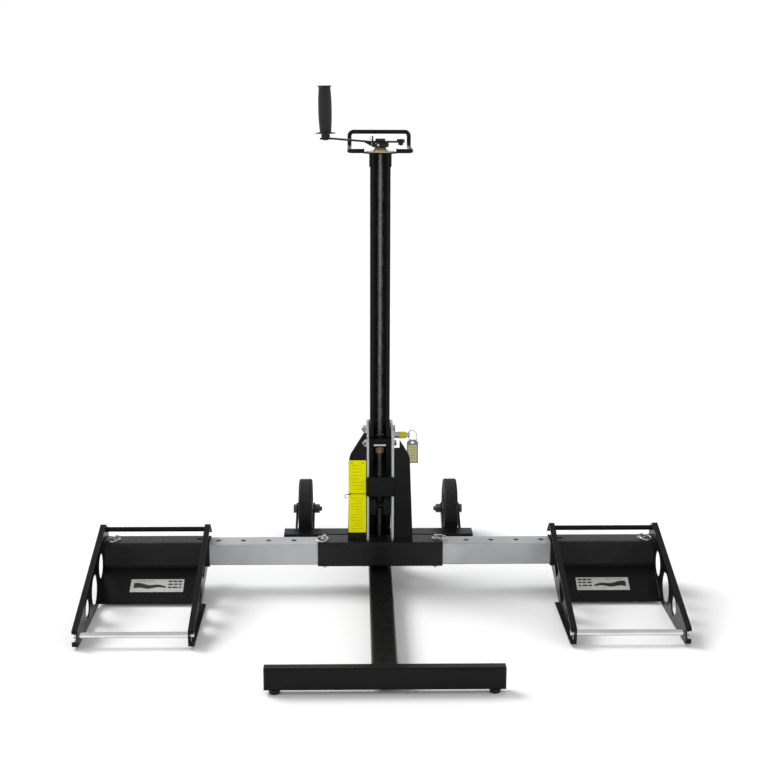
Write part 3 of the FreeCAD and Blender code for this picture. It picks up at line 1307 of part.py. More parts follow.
def pan_plate(name, opening):
    """One side of a pan: a sheet with lips round it, square to X, with its lips towards +X."""
    share = PAN_SHARES
    reach = "Dim.pan_reach"
    back = "Dim.pan_back"
    drop = "Dim.pan_drop"
    points = [
        (f"-{reach}", f"-{share['nose_drop']} * {drop}"),
        (f"-{reach}", f"-{share['toe_drop']} * {drop}"),
        (f"-{share['knee_reach']} * {reach}", f"-{drop}"),
        (f"{share['heel_back']} * {back}", f"-{share['heel_drop']} * {drop}"),
        (back, f"-{share['back_low']} * {drop}"),
        (back, f"{share['back_high']} * Dim.pan_rise"),
        (f"{share['top_back']} * {back}", "Dim.pan_rise"),
    ]
    part = body(name)
    drawing = sketch(part, "YZ_Plane")
    outline(drawing, points)
    pad(part, drawing, "Dim.pan_lip")
    round_corners(part, drawing, points, "Dim.pan_bend")
    faces = [f"Face{number}" for number, face in enumerate(part.Shape.Faces, start=1)
             if face.normalAt(0, 0).x > 1 - TOLERANCE]
    base = part.Tip
    hollow = part.newObject("PartDesign::Thickness", f"{name}_hollow")
    hollow.Base = (base, faces)
    hollow.Mode = "Skin"
    hollow.Join = "Arc"
    hollow.Reversed = True
    bind(hollow, Value="Dim.pan_sheet")
    doc.recompute()
    rear = sketch(part, "XZ_Plane", f"-{back}")
    outline(rear, rectangle("Dim.pan_sheet", f"Dim.pan_bend - {share['back_low']} * {drop}",
                            "Dim.pan_lip + Dim.overrun",
                            f"{share['back_high']} * Dim.pan_rise - Dim.pan_bend"))
    pocket(part, rear, "Dim.pan_sheet", True)
    heel = sketch(part, "YZ_Plane", "Dim.pan_lip")
    outline(heel, rectangle(f"-{share['knee_reach']} * {reach}", f"-{drop} - Dim.overrun",
                            f"{back} + Dim.overrun", "0"))
    pocket(part, heel, "Dim.pan_lip - Dim.pan_sheet")
    holes = sketch(part, "YZ_Plane", "Dim.pan_sheet")
    for size, forward, height in PAN_HOLE_SHARES:
        circle(holes, f"-{forward} * {reach}", f"{height} * {drop}", f"Dim.{size}")
    circle(holes, f"Dim.front_rod_inset - {reach}", "-Dim.front_rod_drop",
           "Dim.front_rod_radius + Dim.front_rod_fit")
    side = f"({opening})"
    middle = "Dim.cross_tube_side / 2"
    outline(holes, rectangle(f"{middle} - {side} / 2", f"{middle} - {side} / 2",
                             f"{middle} + {side} / 2", f"{middle} + {side} / 2"))
    pocket(part, holes, "Dim.pan_sheet + Dim.overrun")
    notch = sketch(part, "XZ_Plane", reach)
    outline(notch, rectangle("Dim.pan_sheet", "-Dim.front_rod_drop - Dim.front_rod_notch",
                             "Dim.pan_lip + Dim.overrun",
                             "Dim.front_rod_notch - Dim.front_rod_drop"))
    pocket(part, notch, "Dim.pan_sheet + Dim.overrun")
    return part


def pans():
    """The right wheel pan, and its mirror image on the left."""
    sleeve = tube("right_sleeve", "YZ_Plane", "Dim.cross_tube_side", "Dim.cross_tube_side",
                  "Dim.cross_tube_wall", "Dim.cross_tube_corner",
                  f"{PAN_OUTER_FACE} - Dim.pan_inner_edge")
    drilling = sketch(sleeve, "XY_Plane", "Dim.cross_tube_side")
    for x in ("Dim.pan_pin_place", "Dim.pan_spare_hole"):
        circle(drilling, f"{x} - Dim.pan_inner_edge", "0", "Dim.pin_hole_radius")
    pocket(sleeve, drilling, "Dim.cross_tube_side + Dim.overrun")
    place(sleeve, "Dim.pan_inner_edge", CROSS_Y, CROSS_BOTTOM)

    outer = pan_plate("outer_plate", "Dim.cross_tube_side - 2 * Dim.cross_tube_wall")
    place(outer, PAN_OUTER_FACE, CROSS_FRONT, CROSS_BOTTOM)
    inner = pan_plate("inner_plate", "Dim.cross_tube_side + 2 * Dim.pan_weld_fit")
    place(inner, f"-{PAN_INNER_FACE}", CROSS_FRONT, CROSS_BOTTOM)
    sides = group("right_pan_sides", outer, mirrored("inner_plate_right", inner))

    share = PAN_SHARES
    reach = f"(-{share['floor_reach']} * Dim.pan_reach)"
    low = f"(-{share['toe_drop']} * Dim.pan_drop)"
    inset = "Dim.floor_plate_inset"
    thick = f"(Dim.floor_plate_thickness * sqrt(1 + ({low} / ({inset} - {reach}))^2))"
    floor = plate("right_floor_plate", "YZ_Plane", [
        (inset, "0"), (reach, f"{low} + {thick}"), (reach, low), (inset, f"-{thick}"),
    ], "Dim.pan_bay")
    place(floor, PAN_INNER_FACE, CROSS_FRONT, CROSS_BOTTOM)

    back_rod = cylinder("right_back_rod", "Dim.back_rod_radius", "Dim.pan_bay")
    place(back_rod, PAN_INNER_FACE, f"{CROSS_FRONT} + Dim.back_rod_reach",
          f"{CROSS_BOTTOM} + Dim.back_rod_rise", ALONG_X)
    rod = "Dim.front_rod_radius"
    edge = "Dim.front_rod_chamfer"
    start = "(Dim.pan_inner_edge + Dim.front_rod_end_gap)"
    end = f"({PAN_OUTER_FACE} + Dim.pan_lip - Dim.front_rod_end_gap)"
    length = f"({end} - {start})"
    front_rod = turned("right_front_rod", [
        ("0", "0"), (f"{rod} - {edge}", "0"), (rod, edge), (rod, f"{length} - {edge}"),
        (f"{rod} - {edge}", length), ("0", length),
    ])
    pin_holes = sketch(front_rod, "YZ_Plane", rod)
    away = "(Dim.pan_lip - Dim.front_rod_end_gap) / 2"
    circle(pin_holes, "0", away, "Dim.front_rod_pin_hole")
    circle(pin_holes, "0", f"{length} - {away}", "Dim.front_rod_pin_hole")
    pocket(front_rod, pin_holes, f"2 * {rod} + Dim.overrun")
    place(front_rod, start, f"{CROSS_FRONT} + Dim.front_rod_inset - Dim.pan_reach",
          f"{CROSS_BOTTOM} - Dim.front_rod_drop", ALONG_X)

    for name, item in (("pan_sleeve", sleeve), ("pan_sides", sides), ("floor_plate", floor),
                       ("back_rod", back_rod), ("front_rod", front_rod)):
        node(f"right_{name}", item)
        node(f"left_{name}", mirrored(f"left_{name}", item))


def check_and_save():
    """Stops at any broken piece, then writes one file for each node."""
    doc.recompute()
    for item in doc.Objects:
        if "Invalid" in item.State or "Error" in item.State:
            raise ValueError(f"{item.Name} is not computed: {item.State}")
    for name, item in NODES.items():
        shape = item.Shape
        if shape.isNull() or not shape.isValid() or not shape.Solids:
            raise ValueError(f"{name} is not a sound shape")
    os.makedirs("parts", exist_ok=True)
    for name, item in NODES.items():
        item.Shape.exportStep(f"parts/{name}.step")
        box = item.Shape.BoundBox
        print(f"{name}: {len(item.Shape.Solids)} solids, x {box.XMin:.2f} to {box.XMax:.2f}, "
              f"y {box.YMin:.2f} to {box.YMax:.2f}, z {box.ZMin:.2f} to {box.ZMax:.2f}")


base_frame()
wheel_forks()
wheels()
mast()
handle_loop()
crank()
carriage()
arms()
lock_plunger()
ring_pin("right_arm_pin", "Dim.arm_pin_place", "Dim.right_arm_ring_turn")
ring_pin("left_arm_pin", "-Dim.arm_pin_place", "Dim.left_arm_ring_turn")
ring_pin("right_pan_pin", "Dim.pan_pin_place", "Dim.right_pan_ring_turn")
ring_pin("left_pan_pin", "-Dim.pan_pin_place", "Dim.left_pan_ring_turn")
pans()
check_and_save()
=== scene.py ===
import math

import bmesh
import bpy
from mathutils import Matrix, Vector


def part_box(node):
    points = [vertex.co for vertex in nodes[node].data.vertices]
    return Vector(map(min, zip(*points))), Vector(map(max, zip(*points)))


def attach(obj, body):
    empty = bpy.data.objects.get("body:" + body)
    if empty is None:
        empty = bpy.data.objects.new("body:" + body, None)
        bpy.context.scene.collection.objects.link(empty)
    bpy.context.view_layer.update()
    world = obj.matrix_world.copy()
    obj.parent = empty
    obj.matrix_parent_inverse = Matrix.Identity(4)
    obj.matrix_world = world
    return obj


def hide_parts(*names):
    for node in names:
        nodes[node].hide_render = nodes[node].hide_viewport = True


# A mower lift: a wheeled base, a mast with a lead screw, a carriage and two wheel pans.
# Everything is in metres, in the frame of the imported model: +Z up, the foot bar towards -Y.

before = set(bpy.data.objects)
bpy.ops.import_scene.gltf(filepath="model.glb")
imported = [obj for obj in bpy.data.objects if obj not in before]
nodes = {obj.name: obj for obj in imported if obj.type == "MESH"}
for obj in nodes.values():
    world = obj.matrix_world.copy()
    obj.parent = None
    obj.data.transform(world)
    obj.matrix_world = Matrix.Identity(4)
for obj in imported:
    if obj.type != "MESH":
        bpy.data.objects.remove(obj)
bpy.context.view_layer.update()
# Each side's name and its sign along X
sides = (("left", -1), ("right", 1))
print("frame loaded,", len(nodes), "nodes")


# Finishes. Scales are waves per metre, so a scale of 1000 gives a grain of about a millimetre.

# What a finish has where its look doesn't say otherwise
plainFinish = {
    "metal": 0,
    "specular": 0.5,
    "patchScale": 14,
    "roughSpread": 0.06,
    "roughScale": 60,
    "grainStretch": (1, 1, 1),
    "grainDepth": 0.15,
    "grainHeight": 0.0002,
    "edge": 0,
}

# Noise detail, the noise levels that each effect runs between, and samples of worn edges
finishRules = {
    "patchDetail": 4,
    "patchLevels": (0.35, 0.68),
    "scuffDetail": 6,
    "scuffBand": 0.1,
    "roughDetail": 3,
    "roughLevels": (0.3, 0.7),
    "grainDetail": 3,
    "edgeSamples": 4,
}


def grainNode(tree, place, scale, stretch, detail):
    mapping = tree.nodes.new("ShaderNodeMapping")
    mapping.inputs["Scale"].default_value = stretch
    grain = tree.nodes.new("ShaderNodeTexNoise")
    grain.inputs["Scale"].default_value = scale
    grain.inputs["Detail"].default_value = detail
    tree.links.new(place.outputs["Object"], mapping.inputs["Vector"])
    tree.links.new(mapping.outputs["Vector"], grain.inputs["Vector"])
    return grain.outputs["Fac"]


def rangeNode(tree, source, low, high, newLow, newHigh):
    remap = tree.nodes.new("ShaderNodeMapRange")
    for socket, number in (("From Min", low), ("From Max", high),
                           ("To Min", newLow), ("To Max", newHigh)):
        remap.inputs[socket].default_value = number
    tree.links.new(source, remap.inputs["Value"])
    return remap.outputs["Result"]


def makeFinish(name, given):
    look = {**plainFinish, **given}
    rules = finishRules
    finish = bpy.data.materials.new(name)
    finish.use_nodes = True
    finish.diffuse_color = (*look["color"], 1)
    tree = finish.node_tree
    shader = tree.nodes["Principled BSDF"]
    shader.inputs["Metallic"].default_value = look["metal"]
    shader.inputs["Specular IOR Level"].default_value = look["specular"]
    place = tree.nodes.new("ShaderNodeTexCoord")

    # Two shades of the colour in soft patches, and scuffs over them where the look has any
    patches = grainNode(tree, place, look["patchScale"], (1, 1, 1), rules["patchDetail"])
    ramp = tree.nodes.new("ShaderNodeValToRGB")
    for stop, level, colour in zip(ramp.color_ramp.elements, rules["patchLevels"],
                                   (look["color"], look["shade"])):
        stop.position = level
        stop.color = (*colour, 1)
    tree.links.new(patches, ramp.inputs["Fac"])
    colour = ramp.outputs["Color"]
    if "scuffColor" in look:
        scuffs = grainNode(tree, place, look["scuffScale"], look["scuffStretch"],
                           rules["scuffDetail"])
        amount = rangeNode(tree, scuffs, look["scuffFrom"],
                           look["scuffFrom"] + rules["scuffBand"], 0, 1)
        # The colour sockets of a mix node are its inputs 6 and 7 and its output 2
        mix = tree.nodes.new("ShaderNodeMix")
        mix.data_type = "RGBA"
        tree.links.new(amount, mix.inputs[0])
        tree.links.new(colour, mix.inputs[6])
        mix.inputs[7].default_value = (*look["scuffColor"], 1)
        colour = mix.outputs[2]
    tree.links.new(colour, shader.inputs["Base Color"])

    stretch = look["grainStretch"]
    rough, spread = look["rough"], look["roughSpread"]
    streaks = grainNode(tree, place, look["roughScale"], stretch, rules["roughDetail"])
    tree.links.new(rangeNode(tree, streaks, *rules["roughLevels"], rough - spread, rough + spread),
                   shader.inputs["Roughness"])

    bump = tree.nodes.new("ShaderNodeBump")
    bump.inputs["Strength"].default_value = look["grainDepth"]
    bump.inputs["Distance"].default_value = look["grainHeight"]
    grain = grainNode(tree, place, look["grainScale"], stretch, rules["grainDetail"])
    tree.links.new(grain, bump.inputs["Height"])
    if look["edge"]:
        edge = tree.nodes.new("ShaderNodeBevel")
        edge.samples = rules["edgeSamples"]
        edge.inputs["Radius"].default_value = look["edge"]
        tree.links.new(edge.outputs["Normal"], bump.inputs["Normal"])
    tree.links.new(bump.outputs["Normal"], shader.inputs["Normal"])
    return finish


looks = {
    "powderCoat": {
        "color": (0.0042, 0.0042, 0.0044), "shade": (0.0056, 0.0056, 0.0058), "rough": 0.3,
        "specular": 0.13, "grainScale": 900, "grainDepth": 0.16, "edge": 0.0014,
        "scuffColor": (0.012, 0.012, 0.0118), "scuffScale": 16, "scuffStretch": (0.35, 1, 1.6),
        "scuffFrom": 0.66,
    },
    # The black powder coat painted lighter, as painted light on the fronts of the cross tube and
    # pan sleeves
    "tubeCoatPaintedLight": {
        "color": (0.0095, 0.0092, 0.0092), "shade": (0.0125, 0.012, 0.012), "rough": 0.3,
        "specular": 0.17, "grainScale": 900, "grainDepth": 0.16, "edge": 0.0014,
        "scuffColor": (0.02, 0.0195, 0.0195), "scuffScale": 12, "scuffStretch": (0.35, 1, 1.6),
        "scuffFrom": 0.62,
    },
    "weldPaint": {
        "color": (0.0044, 0.0044, 0.0046), "shade": (0.0065, 0.0065, 0.0067), "rough": 0.28,
        "specular": 0.18, "grainScale": 500, "grainDepth": 0.3,
    },
    "blackOxide": {
        "color": (0.006, 0.006, 0.0062), "shade": (0.009, 0.009, 0.0088), "rough": 0.36,
        "specular": 0.2, "grainScale": 1200, "grainDepth": 0.15, "edge": 0.0008,
    },
    "zincPlate": {
        "color": (0.5, 0.522, 0.53), "shade": (0.42, 0.445, 0.455), "rough": 0.46, "metal": 0.55,
        "patchScale": 9, "roughScale": 30, "grainScale": 260, "grainStretch": (0.12, 1.6, 1.6),
        "grainDepth": 0.12, "edge": 0.0015, "scuffColor": (0.34, 0.34, 0.33), "scuffScale": 30,
        "scuffStretch": (0.25, 1.5, 1.5), "scuffFrom": 0.64,
    },
    "brightZinc": {
        "color": (0.62, 0.62, 0.61), "shade": (0.5, 0.5, 0.5), "rough": 0.3, "metal": 0.95,
        "patchScale": 60, "grainScale": 900, "grainDepth": 0.12, "edge": 0.0006,
    },
    # Zinc painted much darker, as painted shade on the axle bolts
    "zincPaintedShade": {
        "color": (0.13, 0.13, 0.128), "shade": (0.09, 0.09, 0.088), "rough": 0.4, "metal": 0.7,
        "patchScale": 60, "grainScale": 900, "grainDepth": 0.12, "edge": 0.0006,
    },
    "chrome": {
        "color": (0.8, 0.8, 0.79), "shade": (0.7, 0.7, 0.69), "rough": 0.14, "metal": 1,
        "roughSpread": 0.04, "grainScale": 300, "grainStretch": (0.2, 2, 2), "grainDepth": 0.04,
    },
    "brassBearing": {
        "color": (0.95, 0.68, 0.32), "shade": (0.85, 0.6, 0.26), "rough": 0.34, "metal": 0.75,
        "patchScale": 80, "grainScale": 900, "grainDepth": 0.1, "edge": 0.0004,
    },
    "brassNut": {
        "color": (0.95, 0.64, 0.29), "shade": (0.86, 0.56, 0.24), "rough": 0.5, "metal": 0.1,
        "patchScale": 90, "grainScale": 800, "grainDepth": 0.15, "edge": 0.0005,
    },
    "screwSteel": {
        "color": (0.36, 0.33, 0.31), "shade": (0.29, 0.265, 0.25), "rough": 0.45, "metal": 0.7,
        "patchScale": 40, "grainScale": 700, "grainDepth": 0.1,
    },
    "tyreRubber": {
        "color": (0.0065, 0.0065, 0.0067), "shade": (0.02, 0.02, 0.02), "rough": 0.7,
        "specular": 0.25, "patchScale": 240, "grainScale": 330, "grainDepth": 0.85,
        "grainHeight": 0.0007,
    },
    "padRubber": {
        "color": (0.009, 0.009, 0.009), "shade": (0.014, 0.014, 0.014), "rough": 0.7,
        "specular": 0.25, "grainScale": 700, "grainDepth": 0.3, "edge": 0.0008,
    },
    "hubPlastic": {
        "color": (0.01, 0.01, 0.0104), "shade": (0.014, 0.014, 0.0145), "rough": 0.44,
        "specular": 0.3, "grainScale": 800, "grainDepth": 0.15, "edge": 0.001,
    },
    "capPlastic": {
        "color": (0.008, 0.008, 0.0084), "shade": (0.011, 0.011, 0.0114), "rough": 0.46,
        "specular": 0.25, "grainScale": 1100, "grainDepth": 0.2, "edge": 0.0012,
    },
    "gripPlastic": {
        "color": (0.01, 0.01, 0.0104), "shade": (0.013, 0.013, 0.0134), "rough": 0.46,
        "specular": 0.25, "patchScale": 30, "grainScale": 1300, "grainDepth": 0.35,
        "edge": 0.0006,
    },
    "guideNylon": {
        "color": (0.01, 0.01, 0.0105), "shade": (0.014, 0.014, 0.0145), "rough": 0.5,
        "specular": 0.25, "grainScale": 500, "grainDepth": 0.12, "edge": 0.001,
    },
    "yellowPlastic": {
        "color": (0.68, 0.66, 0.006), "shade": (0.6, 0.58, 0.005), "rough": 0.34,
        "grainScale": 600, "grainDepth": 0.08, "edge": 0.0008,
    },
    "labelYellow": {
        "color": (0.8, 0.79, 0.001), "shade": (0.74, 0.73, 0.001), "rough": 0.5,
        "specular": 0.05, "patchScale": 22, "grainScale": 420, "grainDepth": 0.06,
    },
    "labelInk": {
        "color": (0.3, 0.3, 0.002), "shade": (0.24, 0.24, 0.002), "rough": 0.5,
        "specular": 0.2, "grainScale": 900, "grainDepth": 0.05,
    },
    "blackInk": {
        "color": (0.012, 0.012, 0.012), "shade": (0.02, 0.02, 0.02), "rough": 0.5,
        "specular": 0.3, "grainScale": 900, "grainDepth": 0.05,
    },
    "stickerFoil": {
        "color": (0.56, 0.56, 0.545), "shade": (0.49, 0.49, 0.48), "rough": 0.45, "metal": 0.3,
        "specular": 0.3, "patchScale": 40, "grainScale": 500, "grainDepth": 0.06,
    },
    "tagMetal": {
        "color": (0.3, 0.3, 0.29), "shade": (0.24, 0.24, 0.23), "rough": 0.4, "metal": 0.5,
        "grainScale": 600, "grainDepth": 0.1, "edge": 0.0005,
    },
    "tagCard": {
        "color": (0.74, 0.67, 0.31), "shade": (0.66, 0.6, 0.27), "rough": 0.5,
        "patchScale": 60, "grainScale": 700, "grainDepth": 0.08,
    },
}
finishes = {name: makeFinish(name, look) for name, look in looks.items()}

nodeFinishes = {
    "powderCoat": ("base_tube", "foot_bar", "rear_tube", "mast_foot_plate", "wheel_forks",
                   "mast_channel", "mast_collar", "top_plate", "handle_loop",
                   "left_wing_plate", "right_wing_plate", "front_brace", "nut_carrier",
                   "left_pan_sides", "left_floor_plate", "left_back_rod",
                   "right_pan_sides", "right_floor_plate", "right_back_rod"),
    # The tubes and sleeves take the powder coat with painted light
    "tubeCoatPaintedLight": ("cross_tube", "left_pan_sleeve", "right_pan_sleeve"),
    "blackOxide": ("crank_hub", "crank_nut", "crank_arm", "crank_arm_bolt", "grip_spindle",
                   "guide_spacer"),
    "zincPlate": ("left_arm", "right_arm", "side_plates"),
    # The axle bolts take the zinc with painted shade
    "zincPaintedShade": ("axle_bolts",),
    "brightZinc": ("carriage_bolts", "axle_washers", "nut_washer", "thrust_washer",
                   "plunger_housing", "plunger_pin", "pull_ring",
                   "left_arm_pin", "right_arm_pin", "left_pan_pin", "right_pan_pin"),
    "chrome": ("left_front_rod", "right_front_rod"),
    "brassBearing": ("thrust_bearing",),
    "brassNut": ("lift_nut",),
    "screwSteel": ("lead_screw",),
    "tyreRubber": ("left_tyre", "right_tyre"),
    "padRubber": ("foot_pads",),
    "hubPlastic": ("left_hub", "right_hub"),
    "capPlastic": ("end_caps",),
    "gripPlastic": ("crank_grip",),
    "guideNylon": ("guide_pads", "mast_liners", "screw_foot_bush"),
    "yellowPlastic": ("plunger_sleeve",),
    "tagMetal": ("pull_tag",),
}
for finishName, names in nodeFinishes.items():
    for nodeName in names:
        for materialSlot in nodes[nodeName].material_slots:
            materialSlot.material = finishes[finishName]
print("finishes made,", len(finishes))


# Making meshes

def newPiece(name, points, faces, finish, body, slotName, smooth=True):
    mesh = bpy.data.meshes.new(name)
    mesh.from_pydata([tuple(point) for point in points], [], faces)
    shaped = bmesh.new()
    shaped.from_mesh(mesh)
    bmesh.ops.recalc_face_normals(shaped, faces=shaped.faces)
    shaped.to_mesh(mesh)
    shaped.free()
    mesh.materials.append(finishes[finish])
    for face in mesh.polygons:
        face.use_smooth = smooth
    piece = bpy.data.objects.new(name, mesh)
    bpy.context.scene.collection.objects.link(piece)
    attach(piece, body)
    return piece


def joined(parts):
    points, faces = [], []
    for partPoints, partFaces in parts:
        first = len(points)
        points += partPoints
        faces += [tuple(first + number for number in face) for face in partFaces]
    return points, faces


def moved(part, matrix):
    points, faces = part
    return [matrix @ Vector(point) for point in points], faces


def lathe(profile, around):
    # A closed form turned about Z from (radius, height) points that start and end on the axis
    points, faces, rings = [], [], []
    for radius, height in profile:
        if radius == 0:
            rings.append([len(points)])
            points.append(Vector((0, 0, height)))
            continue
        rings.append(list(range(len(points), len(points) + around)))
        for spoke in range(around):
            angle = 2 * math.pi * spoke / around
            points.append(Vector((radius * math.cos(angle), radius * math.sin(angle), height)))
    for lower, upper in zip(rings, rings[1:]):
        for spoke in range(around):
            after = (spoke + 1) % around
            if len(lower) == 1:
                faces.append((lower[0], upper[spoke], upper[after]))
            elif len(upper) == 1:
                faces.append((lower[spoke], lower[after], upper[0]))
            else:
                faces.append((lower[spoke], lower[after], upper[after], upper[spoke]))
    return points, faces


def wireForm(path, radius, around=8, closed=False, ripple=0.0, rippleStep=3):
    # A round wire or weld bead along a path, with its thickness rippled where asked
    path = [Vector(point) for point in path]
    count = len(path)
    points, faces = [], []
    normal = None
    for number, point in enumerate(path):
        before = path[number - 1] if number or closed else point
        after = path[(number + 1) % count] if number < count - 1 or closed else point
        along = (after - before).normalized()
        if normal is None:
            normal = along.orthogonal().normalized()
        normal = (normal - along * normal.dot(along)).normalized()
        across = along.cross(normal)
        thick = radius * (1 + ripple * math.cos(2 * math.pi * number / rippleStep))
        for spoke in range(around):
            angle = 2 * math.pi * spoke / around
            points.append(point + (normal * math.cos(angle) + across * math.sin(angle)) * thick)
    for number in range(count if closed else count - 1):
        here = number * around
        there = ((number + 1) % count) * around
        for spoke in range(around):
            after = (spoke + 1) % around
            faces.append((here + spoke, here + after, there + after, there + spoke))
    if not closed:
        faces.append(tuple(reversed(range(around))))
        faces.append(tuple(range((count - 1) * around, count * around)))
    return points, faces


def arc(centre, first, second, radius, start, end, steps):
    # Points on an arc in the plane of two directions, with angles in degrees
    spots = []
    for step in range(steps + 1):
        angle = math.radians(start + (end - start) * step / steps)
        spots.append(Vector(centre) + Vector(first) * radius * math.cos(angle)
                     + Vector(second) * radius * math.sin(angle))
    return spots


def ringPath(centre, first, radius):
    # A round path for a closed wire, from one direction over the top. Its last point stands
    # one step short of its first.
    steps = 23
    return arc(centre, first, (0, 0, 1), radius, 0, 360 * steps / (steps + 1), steps)


def slab(low, high, edge):
    # A block with its corners at two points and its edges cut back a little
    low, high = Vector(low), Vector(high)
    shape = bmesh.new()
    bmesh.ops.create_cube(shape, size=1)
    middle = (low + high) / 2
    size = high - low
    for vertex in shape.verts:
        vertex.co = middle + Vector(vertex.co[axis] * size[axis] for axis in range(3))
    bmesh.ops.bevel(shape, geom=shape.edges[:], offset=edge, segments=2, affect="EDGES",
                    profile=0.5)
    points = [vertex.co.copy() for vertex in shape.verts]
    faces = [tuple(vertex.index for vertex in face.verts) for face in shape.faces]
    shape.free()
    return points, faces


def sheetForm(width, height, thickness, corner, steps=4):
    # A thin sheet with rounded corners, lying on z = 0 and centred
    rim = []
    for sideX, sideY, start in ((1, -1, -90), (1, 1, 0), (-1, 1, 90), (-1, -1, 180)):
        centre = Vector((sideX * (width / 2 - corner), sideY * (height / 2 - corner), 0))
        rim += arc(centre, (1, 0, 0), (0, 1, 0), corner, start, start + 90, steps)
    count = len(rim)
    points = rim + [spot + Vector((0, 0, thickness)) for spot in rim]
    faces = [tuple(reversed(range(count))), tuple(range(count, 2 * count))]
    for number in range(count):
        after = (number + 1) % count
        faces.append((number, after, count + after, count + number))
    return points, faces


# The lead screw's thread

screwLook = {
    "lead": 0.005,
    "stepsPerTurn": 20,
    "coreRadius": 0.0062,
    "sunkRadius": 0.0059,
    "crestHalf": 0.0013,
    "rootHalf": 0.0019,
    "endGap": 0.004,
    "edge": 0.0008,
    "shaftSides": 32,
}


def threadedScrew():
    look = screwLook
    low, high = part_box("lead_screw")
    crest = (high.x - low.x) / 2
    core = look["coreRadius"]
    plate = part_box("top_plate")[0].z
    centre = Matrix.Translation(((low.x + high.x) / 2, (low.y + high.y) / 2, 0))
    shaft = lathe([
        (0, low.z), (core - look["edge"], low.z), (core, low.z + look["edge"]),
        (core, plate - look["edge"]), (crest, plate), (crest, high.z - look["edge"]),
        (crest - look["edge"], high.z), (0, high.z),
    ], look["shaftSides"])
    start = low.z + look["endGap"]
    turns = (plate - look["endGap"] - start) / look["lead"]
    count = int(turns * look["stepsPerTurn"])
    section = ((look["sunkRadius"], -look["rootHalf"]), (crest, -look["crestHalf"]),
               (crest, look["crestHalf"]), (look["sunkRadius"], look["rootHalf"]))
    corners = len(section)
    points, faces = [], []
    for step in range(count + 1):
        angle = 2 * math.pi * step / look["stepsPerTurn"]
        height = start + look["lead"] * step / look["stepsPerTurn"]
        for radius, rise in section:
            points.append(Vector((radius * math.cos(angle), radius * math.sin(angle),
                                  height + rise)))
    for step in range(count):
        here = step * corners
        there = here + corners
        for corner in range(corners):
            after = (corner + 1) % corners
            faces.append((here + corner, here + after, there + after, there + corner))
    faces.append(tuple(reversed(range(corners))))
    faces.append(tuple(range(count * corners, (count + 1) * corners)))
    screw = newPiece("threadedScrew", *moved(joined([shaft, (points, faces)]), centre),
                     "screwSteel", "crank", "zinc")
    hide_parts("lead_screw")


threadedScrew()
print("lead screw threaded")


# Tyres with a shallow tread

tyreLook = {
    "rows": 120,
    "grooveDepth": 0.0011,
    "treadColumns": 11,
    "treadHalfShare": 0.6,
    # Every so many rows a chevron is cut, and this column from each edge is a groove all round
    "chevronRows": 4,
    "ringColumn": 3,
    # Across and radius shares of the side of the tyre, from the bead outwards
    "sideShares": ((0.846, 0.694), (0.89, 0.72), (0.93, 0.735), (0.94, 0.76), (0.985, 0.80),
                   (0.998, 0.86), (0.998, 0.93), (0.975, 0.962), (0.9, 0.985), (0.76, 0.996)),
}


def treadedTyre(side):
    look = tyreLook
    low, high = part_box(side + "_tyre")
    centre = (low + high) / 2
    half = (high.x - low.x) / 2
    radius = (high.z - low.z) / 2
    columns = look["treadColumns"]
    tread = look["treadHalfShare"]
    across = [(-share, reach, False) for share, reach in look["sideShares"]]
    for column in range(columns):
        across.append((tread * (2 * column / (columns - 1) - 1), 1.0, True))
    across += [(share, reach, False) for share, reach in reversed(look["sideShares"])]
    points, faces = [], []
    for row in range(look["rows"]):
        angle = 2 * math.pi * row / look["rows"]
        for number, (share, reach, grooved) in enumerate(across):
            distance = radius * reach
            if grooved:
                column = number - len(look["sideShares"])
                chevron = (row + abs(column - columns // 2)) % look["chevronRows"] == 0
                inward = min(column, columns - 1 - column)
                if chevron or inward == look["ringColumn"]:
                    distance -= look["grooveDepth"]
            points.append(centre + Vector((half * share, distance * math.cos(angle),
                                           distance * math.sin(angle))))
    count = len(across)
    for row in range(look["rows"]):
        here = row * count
        there = ((row + 1) % look["rows"]) * count
        for number in range(count):
            after = (number + 1) % count
            faces.append((here + number, here + after, there + after, there + number))
    tyre = newPiece(side + "TreadedTyre", points, faces, "tyreRubber", side + "_wheel",
                    "tyre_rubber")
    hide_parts(side + "_tyre")


for side in ("left", "right"):
    treadedTyre(side)
print("tyres made")


# The yellow card on the left wing plate, in two leaves, with plain ruled lines

cardLook = {
    "left": -0.0717,
    "right": -0.0322,
    "bottom": 0.1350,
    "top": 0.3040,
    "crease": 0.2255,
    "creaseGap": 0.0009,
    "thickness": 0.0006,
    "corner": 0.0018,
    "ruleHeight": 0.0007,
    "rulePrint": 0.00012,
    "ruleMargin": 0.006,
    "lowerRules": 12,
    "upperRules": 8,
    # In rule steps: the first rule below the top of its leaf, and the steps beyond the count
    "firstRule": 1.4,
    "spareSteps": 1.8,
    "shortestRule": 0.62,
    "ruleWaves": 2.3,
    "slotWidth": 0.0058,
    "slotHeight": 0.00145,
    "slotPlace": 0.32,
    "creaseLine": 0.92,
}


def flatOnFront(part, x, y, z):
    # Stands a flat form up on a face that looks towards -Y
    return moved(part, Matrix.Translation((x, y, z)) @ Matrix.Rotation(math.pi / 2, 4, "X"))


def ruleForm(width, look):
    # A printed rule, with its corners cut
    height = look["ruleHeight"]
    return sheetForm(width, height, look["rulePrint"], height / 3, 1)


